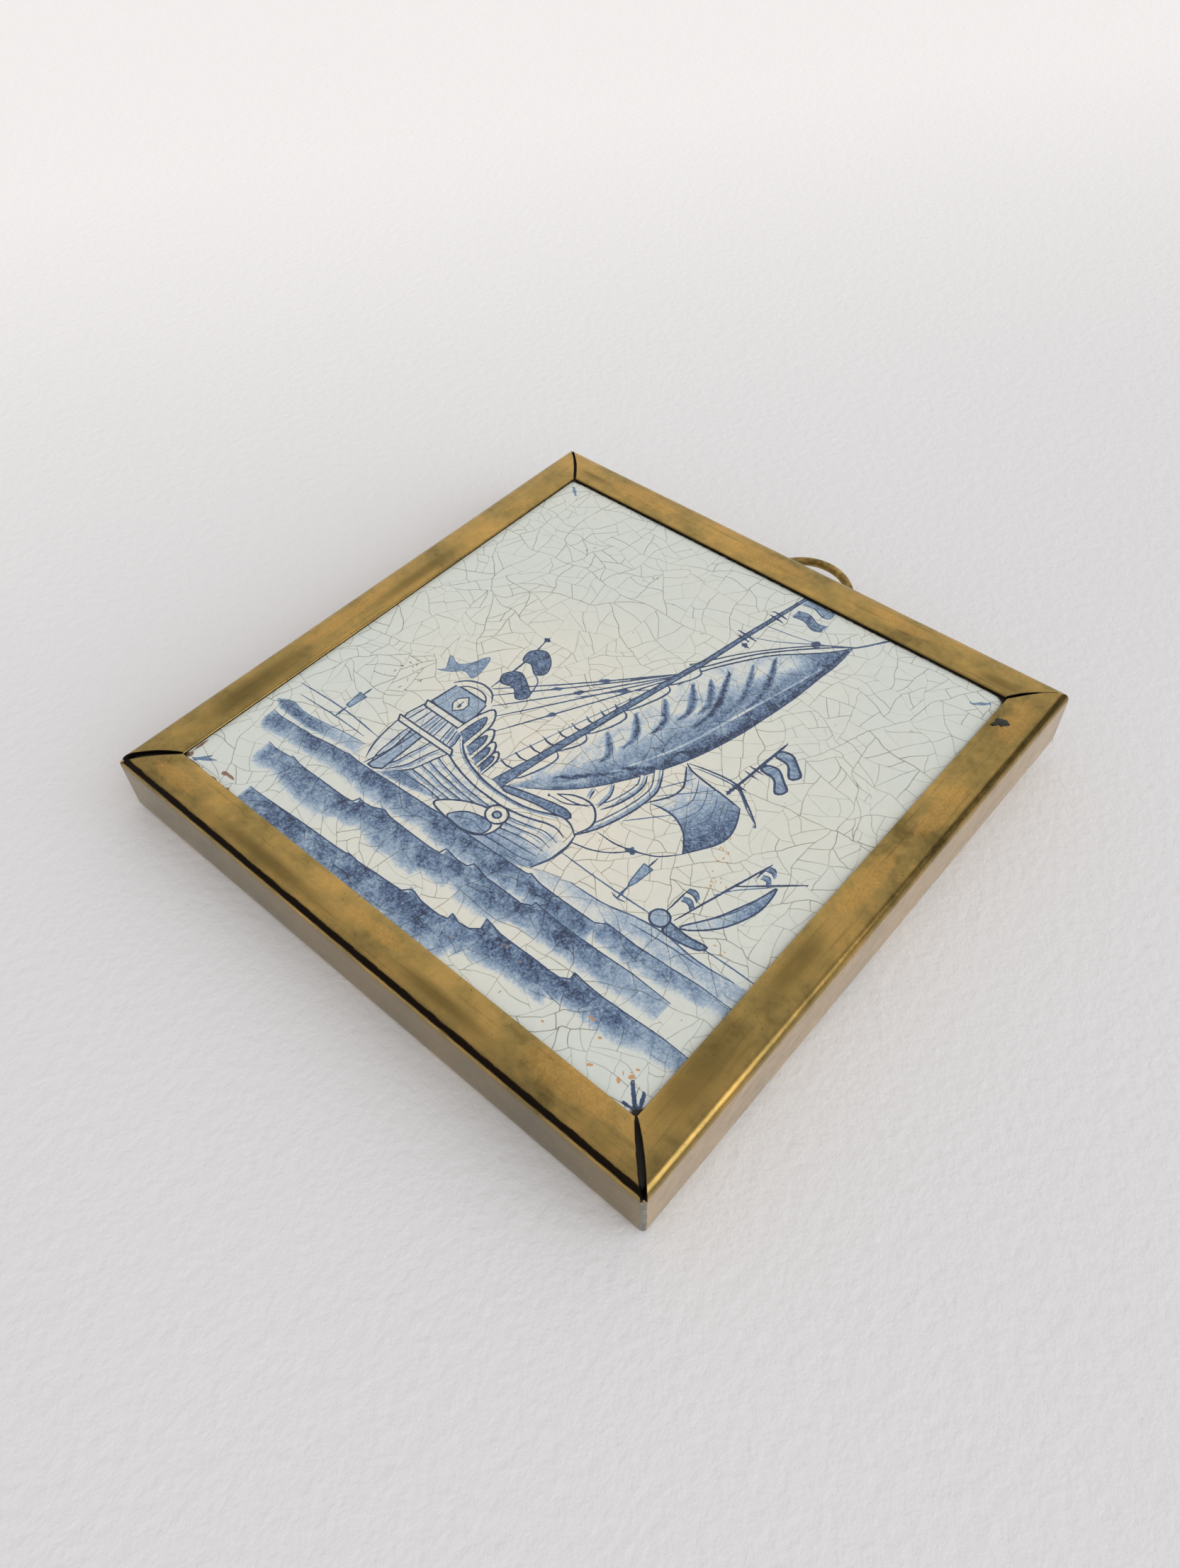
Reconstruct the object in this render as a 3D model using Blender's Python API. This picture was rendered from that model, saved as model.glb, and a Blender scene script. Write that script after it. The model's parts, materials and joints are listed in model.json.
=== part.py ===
"""A painted, glazed tile in a folded brass frame that hangs from a wire ring on its back.

The work stands upright. +X is the picture's right, +Z is its top, and the glazed face looks along -Y.
The origin is the point inside the top of the ring where a nail bears.
"""
import math

import bmesh
import bpy
from mathutils import Matrix, Vector

# Tile
TILE_SIDE = 0.1310
TILE_THICKNESS = 0.0128

# Clearance between pieces that touch
FIT_GAP = 0.0003

# Frame: one strip of sheet brass, folded to a channel and bent round the tile
SHEET = 0.0008
FRONT_FLANGE = 0.0092        # from the frame's outer side to the lip over the glaze
BACK_FLANGE = 0.0110
FOLD_RADIUS = 0.0020         # outside of the folds
FOLD_STEPS = 6
MITRE_GAPS = {               # open cut between two flanges, for the corner at these signs of X and Z
    (-1, -1): 0.0009,
    (1, -1): 0.0011,
    (1, 1): 0.0007,
    (-1, 1): 0.0005,
}

# Ring: round brass wire, captive in a strap on the back
WIRE_RADIUS = 0.0010
RING_RADIUS = 0.01145        # to the middle of the wire
RING_LEAN = math.radians(6.2)   # how far its top leans towards the frame
PIVOT_DROP = 0.0059          # the pivot below the frame's top side
PIVOT_STANDOFF = 0.0017      # the pivot behind the frame's back
RING_SEGMENTS = 48
WIRE_SEGMENTS = 12

# Strap: a short brass strip bent over the wire
STRAP_WIDTH = 0.0046
STRAP_SHEET = 0.0006
STRAP_FOOT = 0.00165         # flat length each side of the arch
WIRE_CLEARANCE = 0.00055     # round the wire, enough for the ring's curve as it turns
ARCH_STEPS = 10

# Worked out from the sizes above
FRAME_SIDE = TILE_SIDE + 2 * (FIT_GAP + SHEET)
FRAME_DEPTH = TILE_THICKNESS + 2 * (FIT_GAP + SHEET)
FOLD_INSIDE = FOLD_RADIUS - SHEET
NAIL_TO_PIVOT = 2 * RING_RADIUS - WIRE_RADIUS
PIVOT = Vector((0, NAIL_TO_PIVOT * math.sin(RING_LEAN), -NAIL_TO_PIVOT * math.cos(RING_LEAN)))
BACK_Y = PIVOT.y - PIVOT_STANDOFF
FRONT_Y = BACK_Y - FRAME_DEPTH
FRAME_TOP = PIVOT.z + PIVOT_DROP
FRAME_CENTRE = Vector((0, FRONT_Y, FRAME_TOP - FRAME_SIDE / 2))


def clear_scene():
    for obj in list(bpy.data.objects):
        bpy.data.objects.remove(obj, do_unlink=True)


def make_material(name, colour, roughness, metallic):
    material = bpy.data.materials.new(name)
    material.use_nodes = True
    shader = material.node_tree.nodes["Principled BSDF"]
    shader.inputs["Base Color"].default_value = (*colour, 1)
    shader.inputs["Roughness"].default_value = roughness
    shader.inputs["Metallic"].default_value = metallic
    return material


def add_object(name, mesh, material=None, location=(0, 0, 0)):
    obj = bpy.data.objects.new(name, mesh)
    obj.location = location
    if material:
        mesh.materials.append(material)
    bpy.context.scene.collection.objects.link(obj)
    return obj


def mesh_from(name, bm):
    """A mesh with its faces pointing out and its round parts smooth."""
    bmesh.ops.recalc_face_normals(bm, faces=bm.faces)
    mesh = bpy.data.meshes.new(name)
    bm.to_mesh(mesh)
    bm.free()
    mesh.shade_smooth()
    mesh.set_sharp_from_angle(angle=math.radians(30))
    return mesh


def arc(centre, radius, start_deg, end_deg, steps):
    """Points along an arc, both ends included."""
    points = []
    for i in range(steps + 1):
        angle = math.radians(start_deg + (end_deg - start_deg) * i / steps)
        points.append((centre[0] + radius * math.cos(angle), centre[1] + radius * math.sin(angle)))
    return points


def channel_profile():
    """The frame's section as (distance in from the outer side, depth behind the front), closed."""
    front = (FOLD_RADIUS, FOLD_RADIUS)
    back = (FOLD_RADIUS, FRAME_DEPTH - FOLD_RADIUS)
    outside = [(FRONT_FLANGE, 0)]
    outside += arc(front, FOLD_RADIUS, 270, 180, FOLD_STEPS)
    outside += arc(back, FOLD_RADIUS, 180, 90, FOLD_STEPS)
    outside += [(BACK_FLANGE, FRAME_DEPTH)]
    inside = [(BACK_FLANGE, FRAME_DEPTH - SHEET)]
    inside += arc(back, FOLD_INSIDE, 90, 180, FOLD_STEPS)
    inside += arc(front, FOLD_INSIDE, 180, 270, FOLD_STEPS)
    inside += [(FRONT_FLANGE, SHEET)]
    return outside + inside


def make_channel():
    """The section carried round the four mitred corners."""
    bm = bmesh.new()
    half = FRAME_SIDE / 2
    corners = [(-1, -1), (1, -1), (1, 1), (-1, 1)]
    loops = [
        [bm.verts.new((sx * (half - d), depth, sz * (half - d))) for d, depth in channel_profile()]
        for sx, sz in corners
    ]
    count = len(loops[0])
    for k in range(4):
        here, there = loops[k], loops[(k + 1) % 4]
        for i in range(count):
            j = (i + 1) % count
            bm.faces.new((here[i], here[j], there[j], there[i]))
    return mesh_from("brass_frame", bm)


def make_mitre_cutter():
    """Eight thin blocks that open the flanges along the corners' diagonals, front and back."""
    bm = bmesh.new()
    half = FRAME_SIDE / 2
    overrun = 2 * SHEET
    cut_depth = FOLD_RADIUS - FIT_GAP
    depth = cut_depth + overrun
    for (sx, sz), gap in MITRE_GAPS.items():
        for flange, middle in (
            (FRONT_FLANGE, cut_depth - depth / 2),
            (BACK_FLANGE, FRAME_DEPTH - cut_depth + depth / 2),
        ):
            length = flange * math.sqrt(2) + overrun
            reach = half - (length - overrun / 2) / math.sqrt(2) / 2
            turn = Matrix.Rotation(-math.atan2(sz, sx), 4, "Y")
            place = Matrix.Translation((sx * reach, middle, sz * reach))
            size = Matrix.Diagonal((length, depth, gap, 1))
            bmesh.ops.create_cube(bm, size=1, matrix=place @ turn @ size)
    return mesh_from("mitre_cutter", bm)


def make_frame(material):
    frame = add_object("brass_frame", make_channel(), material, FRAME_CENTRE)
    cutter = add_object("mitre_cutter", make_mitre_cutter(), location=FRAME_CENTRE)
    cutter.hide_render = True
    cutter.display_type = "WIRE"
    cut = frame.modifiers.new("mitres", "BOOLEAN")
    cut.operation = "DIFFERENCE"
    cut.solver = "EXACT"
    cut.object = cutter
    return frame


def make_tile(material):
    """The tile, with its edges rubbed round to sit inside the frame's folds."""
    bm = bmesh.new()
    size = Matrix.Diagonal((TILE_SIDE, TILE_THICKNESS, TILE_SIDE, 1))
    bmesh.ops.create_cube(bm, size=1, matrix=size)
    bmesh.ops.bevel(
        bm, geom=bm.edges[:], offset=FOLD_INSIDE, segments=4, profile=0.5, affect="EDGES", clamp_overlap=True
    )
    middle = FRAME_CENTRE + Vector((0, FRAME_DEPTH / 2, 0))
    return add_object("ceramic_tile", mesh_from("ceramic_tile", bm), material, middle)


def make_ring(material):
    """The ring, on a pivot that lies on its joint's axis."""
    pivot = bpy.data.objects.new("ring_pivot", None)
    pivot.location = PIVOT
    pivot.rotation_euler = (RING_LEAN, 0, 0)
    bpy.context.scene.collection.objects.link(pivot)
    bpy.ops.mesh.primitive_torus_add(
        major_radius=RING_RADIUS, minor_radius=WIRE_RADIUS, major_segments=RING_SEGMENTS, minor_segments=WIRE_SEGMENTS
    )
    ring = bpy.context.object
    ring.name = "hanging_ring"
    ring.data.name = "hanging_ring"
    ring.data.materials.append(material)
    ring.data.shade_smooth()
    ring.parent = pivot
    ring.rotation_euler = (math.radians(90), 0, 0)
    ring.location = (0, 0, RING_RADIUS)
    return ring


def strap_profile():
    """The strap's section as (height above the pivot, distance behind the frame's back), closed."""
    inner = WIRE_RADIUS + WIRE_CLEARANCE
    outer = inner + STRAP_SHEET
    foot_end = outer + STRAP_FOOT
    crown = (0, PIVOT_STANDOFF)
    low, high = FIT_GAP, FIT_GAP + STRAP_SHEET
    outside = [(foot_end, low), (foot_end, high), (outer, high)]
    outside += arc(crown, outer, 0, 180, ARCH_STEPS)
    outside += [(-outer, high), (-foot_end, high), (-foot_end, low)]
    inside = [(-inner, low)] + arc(crown, inner, 180, 0, ARCH_STEPS) + [(inner, low)]
    return outside + inside


def make_strap(material):
    bm = bmesh.new()
    near = [bm.verts.new((-STRAP_WIDTH / 2, y, z)) for z, y in strap_profile()]
    section = bm.faces.new(near)
    swept = bmesh.ops.extrude_face_region(bm, geom=[section])
    far = [item for item in swept["geom"] if isinstance(item, bmesh.types.BMVert)]
    bmesh.ops.translate(bm, verts=far, vec=(STRAP_WIDTH, 0, 0))
    return add_object("ring_strap", mesh_from("ring_strap", bm), material, (0, BACK_Y, PIVOT.z))


def main():
    clear_scene()
    glaze = make_material("painted_glaze", (0.66, 0.69, 0.66), 0.25, 0.0)
    brass = make_material("aged_brass", (0.42, 0.30, 0.12), 0.38, 1.0)
    wire = make_material("brass_wire", (0.33, 0.25, 0.12), 0.42, 1.0)
    make_tile(glaze)
    make_frame(brass)
    make_strap(brass)
    make_ring(wire)
    bpy.context.view_layer.update()


main()
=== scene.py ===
"""Looks of a painted, glazed tile in a folded brass frame that hangs from a wire ring.

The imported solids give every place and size. Lengths are in millimetres while a form is drawn, and become
metres when its mesh is made. The painting is drawn from the middle of the tile's face, u right and v up.
"""
import json
import math

import bmesh
import bpy
import numpy as np
from mathutils import Matrix, Vector, noise
from mathutils.geometry import delaunay_2d_cdt


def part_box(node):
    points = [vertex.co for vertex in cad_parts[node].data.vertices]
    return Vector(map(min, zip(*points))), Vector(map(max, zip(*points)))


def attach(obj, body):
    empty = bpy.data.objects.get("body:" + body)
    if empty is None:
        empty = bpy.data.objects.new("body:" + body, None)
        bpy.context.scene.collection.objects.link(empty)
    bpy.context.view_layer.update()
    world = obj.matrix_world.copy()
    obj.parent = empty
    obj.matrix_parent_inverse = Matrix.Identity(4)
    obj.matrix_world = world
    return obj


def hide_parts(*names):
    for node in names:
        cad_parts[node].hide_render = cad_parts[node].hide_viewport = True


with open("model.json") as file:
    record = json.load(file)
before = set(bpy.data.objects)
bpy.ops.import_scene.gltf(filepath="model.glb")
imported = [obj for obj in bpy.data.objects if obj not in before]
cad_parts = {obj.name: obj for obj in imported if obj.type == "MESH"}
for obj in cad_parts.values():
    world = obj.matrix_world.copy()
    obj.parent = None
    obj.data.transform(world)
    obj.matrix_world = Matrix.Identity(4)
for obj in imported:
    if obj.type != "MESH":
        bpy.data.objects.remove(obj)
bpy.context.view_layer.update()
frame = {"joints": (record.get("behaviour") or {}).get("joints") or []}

MM = 0.001

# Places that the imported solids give
FRAME_LOW, FRAME_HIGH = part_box("brass_frame")
TILE_LOW, TILE_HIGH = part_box("ceramic_tile")
RING_LOW, RING_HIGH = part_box("hanging_ring")
STRAP_LOW, STRAP_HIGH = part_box("ring_strap")
PIVOT = Vector(frame["joints"][0]["pos_m"])
CENTRE_X = (FRAME_LOW.x + FRAME_HIGH.x) / 2 / MM
CENTRE_Z = (FRAME_LOW.z + FRAME_HIGH.z) / 2 / MM
FRONT = FRAME_LOW.y / MM
BACK = FRAME_HIGH.y / MM
HALF = (FRAME_HIGH.x - FRAME_LOW.x) / 2 / MM
DEPTH = BACK - FRONT
TILE_HALF = (TILE_HIGH.x - TILE_LOW.x) / 2 / MM
TILE_FRONT = TILE_LOW.y / MM
TILE_BACK = TILE_HIGH.y / MM

# Frame
SHEET = 0.8
FRONT_FLANGE = 9.2
BACK_FLANGE = 11.0
FOLD_RADIUS = 2.0
FOLD_STEPS = 9
CORNER_RADIUS = 1.0
LEAST_RADIUS = 0.12
CORNER_STEPS = 6
SIDE_COLUMNS = 96
END_STEPS = (0, 0.25, 0.6, 1.1, 1.8, 2.8)   # from a mitred end, where the columns are close
NOTCH_DEPTH = 1.55                          # how deep an open mitre cuts into the folds
SHALLOW_DEPTH = 0.45                        # and a closed one, which stays on the flat

# Camera, fitted to the frame's corners and edges in the photo
EYE = Vector((0.10483, FRONT * MM - 0.16815, CENTRE_Z * MM - 0.11527))
FORWARD = Vector((-0.43808, 0.76705, 0.46875))
RIGHT = Vector((0.75200, 0.02701, 0.65861))
LENS = 26.81
SENSOR = 36.0


class Graph:
    """Builds a node tree. An input may be a number, a colour or another node's output."""

    def __init__(self, tree):
        self.tree = tree
        tree.nodes.clear()

    def add(self, kind, settings=None, **inputs):
        made = self.tree.nodes.new(kind)
        for name, value in (settings or {}).items():
            setattr(made, name, value)
        for name, value in inputs.items():
            self.feed(made.inputs[name.replace("_", " ")], value)
        return made

    def feed(self, socket, value):
        if isinstance(value, bpy.types.NodeSocket):
            self.tree.links.new(value, socket)
        elif socket.type == "RGBA" and len(value) == 3:
            socket.default_value = (*value, 1)
        else:
            socket.default_value = value

    def math(self, operation, *values, clamp=False):
        made = self.tree.nodes.new("ShaderNodeMath")
        made.operation = operation
        made.use_clamp = clamp
        for socket, value in zip(made.inputs, values):
            self.feed(socket, value)
        return made.outputs[0]

    def plus(self, *values, clamp=False):
        return self.math("ADD", *values, clamp=clamp)

    def minus(self, *values):
        return self.math("SUBTRACT", *values)

    def times(self, *values):
        return self.math("MULTIPLY", *values)

    def larger(self, *values, clamp=False):
        return self.math("MAXIMUM", *values, clamp=clamp)

    def weighted(self, one, one_weight, other, other_weight):
        return self.plus(self.times(one, one_weight), self.times(other, other_weight))

    def vector(self, operation, *values):
        made = self.tree.nodes.new("ShaderNodeVectorMath")
        made.operation = operation
        for socket, value in zip(made.inputs, values):
            self.feed(socket, value)
        return made.outputs["Value" if operation in ("DOT_PRODUCT", "LENGTH", "DISTANCE") else "Vector"]

    def mix(self, factor, low, high, blend="MIX"):
        made = self.tree.nodes.new("ShaderNodeMix")
        made.data_type = "RGBA"
        made.blend_type = blend
        self.feed(made.inputs[0], factor)
        self.feed(made.inputs[6], low)
        self.feed(made.inputs[7], high)
        return made.outputs[2]

    def remap(self, value, low, high, to_low=0.0, to_high=1.0, smooth=False):
        made = self.tree.nodes.new("ShaderNodeMapRange")
        made.interpolation_type = "SMOOTHSTEP" if smooth else "LINEAR"
        for socket, item in zip(made.inputs, (value, low, high, to_low, to_high)):
            self.feed(socket, item)
        return made.outputs[0]

    def noise(self, vector, size, detail=4.0, roughness=0.55, distortion=0.0):
        """Noise whose features are about size millimetres across."""
        made = self.add("ShaderNodeTexNoise", Vector=vector, Scale=1 / (size * MM), Detail=detail)
        made.inputs["Roughness"].default_value = roughness
        made.inputs["Distortion"].default_value = distortion
        return made.outputs["Fac"]

    def ramp(self, value, stops):
        """A colour ramp through stops of (place, colour as seen on screen)."""
        made = self.tree.nodes.new("ShaderNodeValToRGB")
        items = made.color_ramp.elements
        while len(items) < len(stops):
            items.new(0.5)
        for item, (place, colour) in zip(items, stops):
            item.position = place
            item.color = (*srgb(*colour), 1)
        self.feed(made.inputs[0], value)
        return made.outputs[0]

    def place(self):
        """Where the shaded point is on its object."""
        return self.add("ShaderNodeTexCoord").outputs["Object"]

    def attribute(self, name, kind="Fac"):
        return self.add("ShaderNodeAttribute", {"attribute_name": name}).outputs[kind]

    def stretched(self, vector, scale):
        made = self.add("ShaderNodeMapping", Vector=vector)
        made.inputs["Scale"].default_value = scale
        return made.outputs["Vector"]


def srgb(red, green, blue):
    """A colour as seen on screen, 0 to 255, as the linear one that shaders take."""
    linear = []
    for value in (red, green, blue):
        share = value / 255
        linear.append(share / 12.92 if share <= 0.04045 else ((share + 0.055) / 1.055) ** 2.4)
    return tuple(linear)


def material(name):
    made = bpy.data.materials.new(name)
    made.use_nodes = True
    return made, Graph(made.node_tree)


def principled(graph, bump=None, **inputs):
    shader = graph.add("ShaderNodeBsdfPrincipled")
    for name, value in inputs.items():
        graph.feed(shader.inputs[name.replace("_", " ")], value)
    if bump is not None:
        graph.feed(shader.inputs["Normal"], bump)
    output = graph.add("ShaderNodeOutputMaterial")
    graph.feed(output.inputs["Surface"], shader.outputs[0])
    return shader


def bump(graph, height, distance, strength=1.0):
    """A bump from a height of 0 to 1 that stands for distance millimetres."""
    made = graph.add("ShaderNodeBump", Height=height, Distance=distance * MM, Strength=strength)
    return made.outputs["Normal"]


# Materials

def patina(graph, place, mottle):
    """Brown to yellow metal, and how bright it is worn where grains of gold show."""
    clouds = graph.noise(place, 17, 5, 0.6)
    tone = graph.remap(graph.weighted(clouds, 0.75, mottle, 0.35), 0.38, 0.72)
    metal = graph.ramp(tone, (
        (0.0, (114, 97, 58)), (0.35, (152, 130, 79)), (0.65, (176, 146, 87)), (1.0, (198, 160, 94)),
    ))
    grains = graph.noise(place, 0.55, 3, 0.75)
    gold = graph.mix(graph.remap(grains, 0.35, 0.65), srgb(220, 176, 102), srgb(180, 136, 74))
    patchy = graph.weighted(mottle, 0.7, grains, 0.35)
    bright = graph.remap(graph.plus(graph.attribute("worn"), patchy), 0.88, 1.2, smooth=True)
    return graph.mix(graph.times(bright, 0.45), metal, gold), bright


def weathered(graph, metal, run, mottle, wall_reflection):
    """The metal with olive patches, partly painted dark reflection, outer walls painted paler as a reflection
    of the table and darker as shade, and dark streaks along the sheet.
    """
    # olive patches, partly painted dark reflection, and painted shade on the darker walls
    dull_and_shade = graph.plus(graph.attribute("dull_and_shade"), graph.times(graph.minus(mottle, 0.5), 0.8))
    metal = graph.mix(graph.remap(dull_and_shade, 0.15, 1.0, 0.0, 0.65, smooth=True), metal, srgb(98, 84, 48))
    # painted reflection: outer walls made paler, as if showing the bright table
    wall_reflection_colour = graph.mix(graph.remap(mottle, 0.3, 0.7), srgb(192, 172, 146), srgb(216, 196, 168))
    metal = graph.mix(graph.times(wall_reflection, 0.8), metal, wall_reflection_colour)
    streaks = graph.noise(graph.stretched(run, (0.05, 1.0, 1.0)), 0.9, 3, 0.6)
    return graph.mix(graph.remap(streaks, 0.56, 0.72, 0.0, 0.35), metal, srgb(96, 78, 44))


def brass_material():
    made, graph = material("aged_brass_look")
    place = graph.place()
    run = graph.attribute("run", "Vector")
    wall_reflection = graph.attribute("wall_reflection")
    mottle = graph.noise(place, 3.2, 6, 0.65, 0.4)
    grain = graph.noise(graph.stretched(run, (0.16, 1.0, 1.0)), 0.55, 5, 0.7)
    pits = graph.remap(graph.noise(place, 0.45, 2, 0.5), 0.68, 0.78)
    metal, bright = patina(graph, place, mottle)
    metal = weathered(graph, metal, run, mottle, wall_reflection)
    # dirt at cut edges and lips, with painted shade on the shaded lips and a painted dark reflection along
    # the bottom fold
    dirt_and_shade = graph.plus(graph.attribute("grime_and_shade"), graph.times(graph.minus(mottle, 0.5), 0.9))
    dirt_and_shade = graph.larger(graph.remap(dirt_and_shade, 0.45, 0.85, smooth=True), graph.times(pits, 0.55))
    shine = graph.plus(graph.remap(grain, 0.3, 0.7, 0.15, 0.28), graph.times(wall_reflection, 0.10))
    shine = graph.plus(shine, graph.times(bright, 0.1))
    relief = graph.minus(graph.weighted(grain, 0.5, mottle, 0.8), graph.times(pits, 0.4))
    principled(
        graph, bump(graph, relief, 0.035),
        Base_Color=graph.mix(dirt_and_shade, metal, srgb(30, 20, 10)),
        Roughness=graph.plus(shine, graph.times(dirt_and_shade, 0.25), clamp=True),
        Metallic=graph.remap(dirt_and_shade, 0.0, 1.0, 1.0, 0.8),
    )
    return made


def wire_material():
    made, graph = material("brass_wire_look")
    place = graph.place()
    mottle = graph.noise(place, 2.4, 5, 0.65, 0.3)
    fine = graph.noise(place, 0.35, 4, 0.6)
    colour = graph.ramp(graph.remap(mottle, 0.32, 0.68), (
        (0.0, (96, 78, 42)), (0.5, (150, 126, 74)), (1.0, (190, 160, 98)),
    ))
    principled(
        graph, bump(graph, fine, 0.03), Base_Color=colour, Metallic=0.92,
        Roughness=graph.remap(fine, 0.3, 0.7, 0.32, 0.5),
    )
    return made


def solder_material():
    made, graph = material("solder_look")
    place = graph.place()
    mottle = graph.noise(place, 1.2, 5, 0.6)
    colour = graph.mix(graph.remap(mottle, 0.35, 0.65), srgb(112, 112, 104), srgb(164, 158, 142))
    principled(
        graph, bump(graph, mottle, 0.12), Base_Color=colour, Metallic=0.85,
        Roughness=graph.remap(mottle, 0.3, 0.7, 0.35, 0.6),
    )
    return made


def tar_material():
    made, graph = material("tar_look")
    place = graph.place()
    grain = graph.noise(place, 0.5, 4, 0.6)
    colour = graph.mix(grain, srgb(14, 14, 11), srgb(36, 34, 24))
    principled(
        graph, bump(graph, grain, 0.1), Base_Color=colour,
        Roughness=graph.remap(grain, 0.3, 0.7, 0.35, 0.7),
    )
    return made


def white_glaze(graph, place, mottle, warmth):
    """White glaze, a little warmer in the middle."""
    clouds = graph.noise(place, 22, 4, 0.55)
    warm = graph.plus(warmth, graph.remap(clouds, 0.35, 0.65, -0.2, 0.2), clamp=True)
    glaze = graph.mix(warm, srgb(208, 213, 206), srgb(223, 218, 203))
    return graph.mix(graph.remap(mottle, 0.4, 0.7, 0.0, 0.25), glaze, srgb(196, 200, 192))


def with_cobalt(graph, glaze, mottle, speckle):
    """The glaze painted in blue, granular in the washes and nearly even in the lines."""
    grainy = graph.times(graph.attribute("wash"), graph.remap(mottle, 0.3, 0.7, 0.74, 1.2))
    grainy = graph.times(grainy, graph.remap(speckle, 0.3, 0.7, 0.56, 1.38))
    rough_edge = graph.plus(graph.attribute("edge"), graph.times(graph.minus(speckle, 0.5), 0.5))
    drawn = graph.remap(rough_edge, 0.36, 0.62, smooth=True)
    drawn = graph.times(drawn, graph.remap(mottle, 0.3, 0.7, 0.8, 1.05))
    pigment = graph.larger(grainy, graph.times(drawn, graph.attribute("ink")), clamp=True)
    blue = graph.ramp(pigment, (
        (0.0, (196, 205, 211)), (0.25, (154, 172, 190)), (0.5, (104, 127, 155)), (0.75, (62, 80, 112)),
        (1.0, (34, 43, 68)),
    ))
    return graph.mix(graph.remap(pigment, 0.03, 0.22, smooth=True), glaze, blue)


def with_cracks(graph, painted, place, cracks, warmth):
    """Cracks over the painting, browner where dirt has gone in."""
    visible = graph.remap(graph.noise(place, 9, 3, 0.6), 0.3, 0.65, 0.35, 0.95)
    shade = graph.mix(warmth, srgb(150, 152, 146), srgb(146, 132, 112))
    return graph.mix(graph.times(cracks, visible), painted, shade, "MULTIPLY")


def with_specks(graph, painted, place):
    """Small brown iron specks, in a few of the cells of a fine pattern."""
    dots = graph.add(
        "ShaderNodeTexVoronoi", {"feature": "F1"}, Vector=graph.vector("MULTIPLY", place, (1, 0, 1)),
        Scale=1 / (2.6 * MM),
    )
    near = graph.remap(dots.outputs["Distance"], 0.035, 0.075, 1.0, 0.0)
    cell = graph.add("ShaderNodeSeparateColor", Color=dots.outputs["Color"]).outputs[0]
    chosen = graph.math("LESS_THAN", cell, 0.16)
    return graph.mix(graph.times(graph.times(near, chosen), 0.55), painted, srgb(128, 92, 58))


def bare_clay(graph, place, lumps, mortar, pores):
    """Unglazed clay on the sides and the back, with remains of mortar."""
    body = graph.weighted(graph.noise(place, 7, 5, 0.65), 0.5, lumps, 0.5)
    earth = graph.ramp(graph.remap(body, 0.36, 0.64), (
        (0.0, (178, 140, 108)), (0.5, (204, 170, 134)), (1.0, (222, 198, 164)),
    ))
    earth = graph.mix(mortar, earth, graph.mix(lumps, srgb(186, 178, 164), srgb(226, 220, 208)))
    return graph.mix(graph.times(pores, 0.7), earth, srgb(92, 64, 44))


def glaze_material():
    made, graph = material("painted_glaze_look")
    place = graph.place()
    clay = graph.attribute("clay")
    warmth = graph.attribute("warmth")
    mottle = graph.noise(place, 1.5, 5, 0.62, 0.3)
    speckle = graph.noise(place, 0.42, 3, 0.6)
    cracks = graph.remap(graph.attribute("crack"), 0.1, 0.6, smooth=True)
    painted = with_cobalt(graph, white_glaze(graph, place, mottle, warmth), mottle, speckle)
    painted = with_specks(graph, with_cracks(graph, painted, place, cracks, warmth), place)

    # Rust, yellower to the right, and painted shade along and under the frame's lip, with dirt under the
    # mitres
    rust = graph.plus(graph.attribute("rust"), graph.times(speckle, 0.6))
    rust = graph.remap(rust, 0.5, 0.72, smooth=True)
    across = graph.add("ShaderNodeSeparateXYZ", Vector=place).outputs["X"]
    rust_colour = graph.mix(graph.remap(across, -0.02, 0.04), srgb(122, 72, 44), srgb(192, 134, 62))
    painted = graph.mix(graph.times(rust, 0.85), painted, rust_colour)
    # painted shade along and under the lip, with dirt under the mitres
    stain_and_shade = graph.plus(graph.attribute("grime_and_shade"), graph.times(mottle, 0.5))
    stain_and_shade = graph.remap(stain_and_shade, 0.55, 1.0, smooth=True)
    painted = graph.mix(stain_and_shade, painted, srgb(30, 23, 16))

    lumps = graph.noise(place, 1.8, 5, 0.7)
    mortar = graph.remap(graph.noise(place, 16, 8, 0.72), 0.54, 0.60, 0.0, 0.75)
    pores = graph.remap(graph.noise(place, 1.0, 3, 0.6), 0.66, 0.72)
    colour = graph.mix(clay, painted, bare_clay(graph, place, lumps, mortar, pores))

    gloss = graph.remap(mottle, 0.3, 0.7, 0.16, 0.26)
    for matt, level in ((clay, 0.85), (stain_and_shade, 0.7), (rust, 0.7)):
        gloss = graph.larger(gloss, graph.times(matt, level))
    relief = graph.times(graph.noise(place, 2.5, 3, 0.5), 0.5)
    relief = graph.minus(relief, graph.times(cracks, 0.35))
    rough_clay = graph.plus(graph.weighted(lumps, 5.0, mortar, 2.5), speckle)
    rough_clay = graph.minus(rough_clay, graph.times(pores, 3.0))
    relief = graph.plus(relief, graph.times(rough_clay, clay))
    principled(graph, bump(graph, relief, 0.06), Base_Color=colour, Roughness=gloss, IOR=1.5)
    return made


# Form helpers

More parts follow.
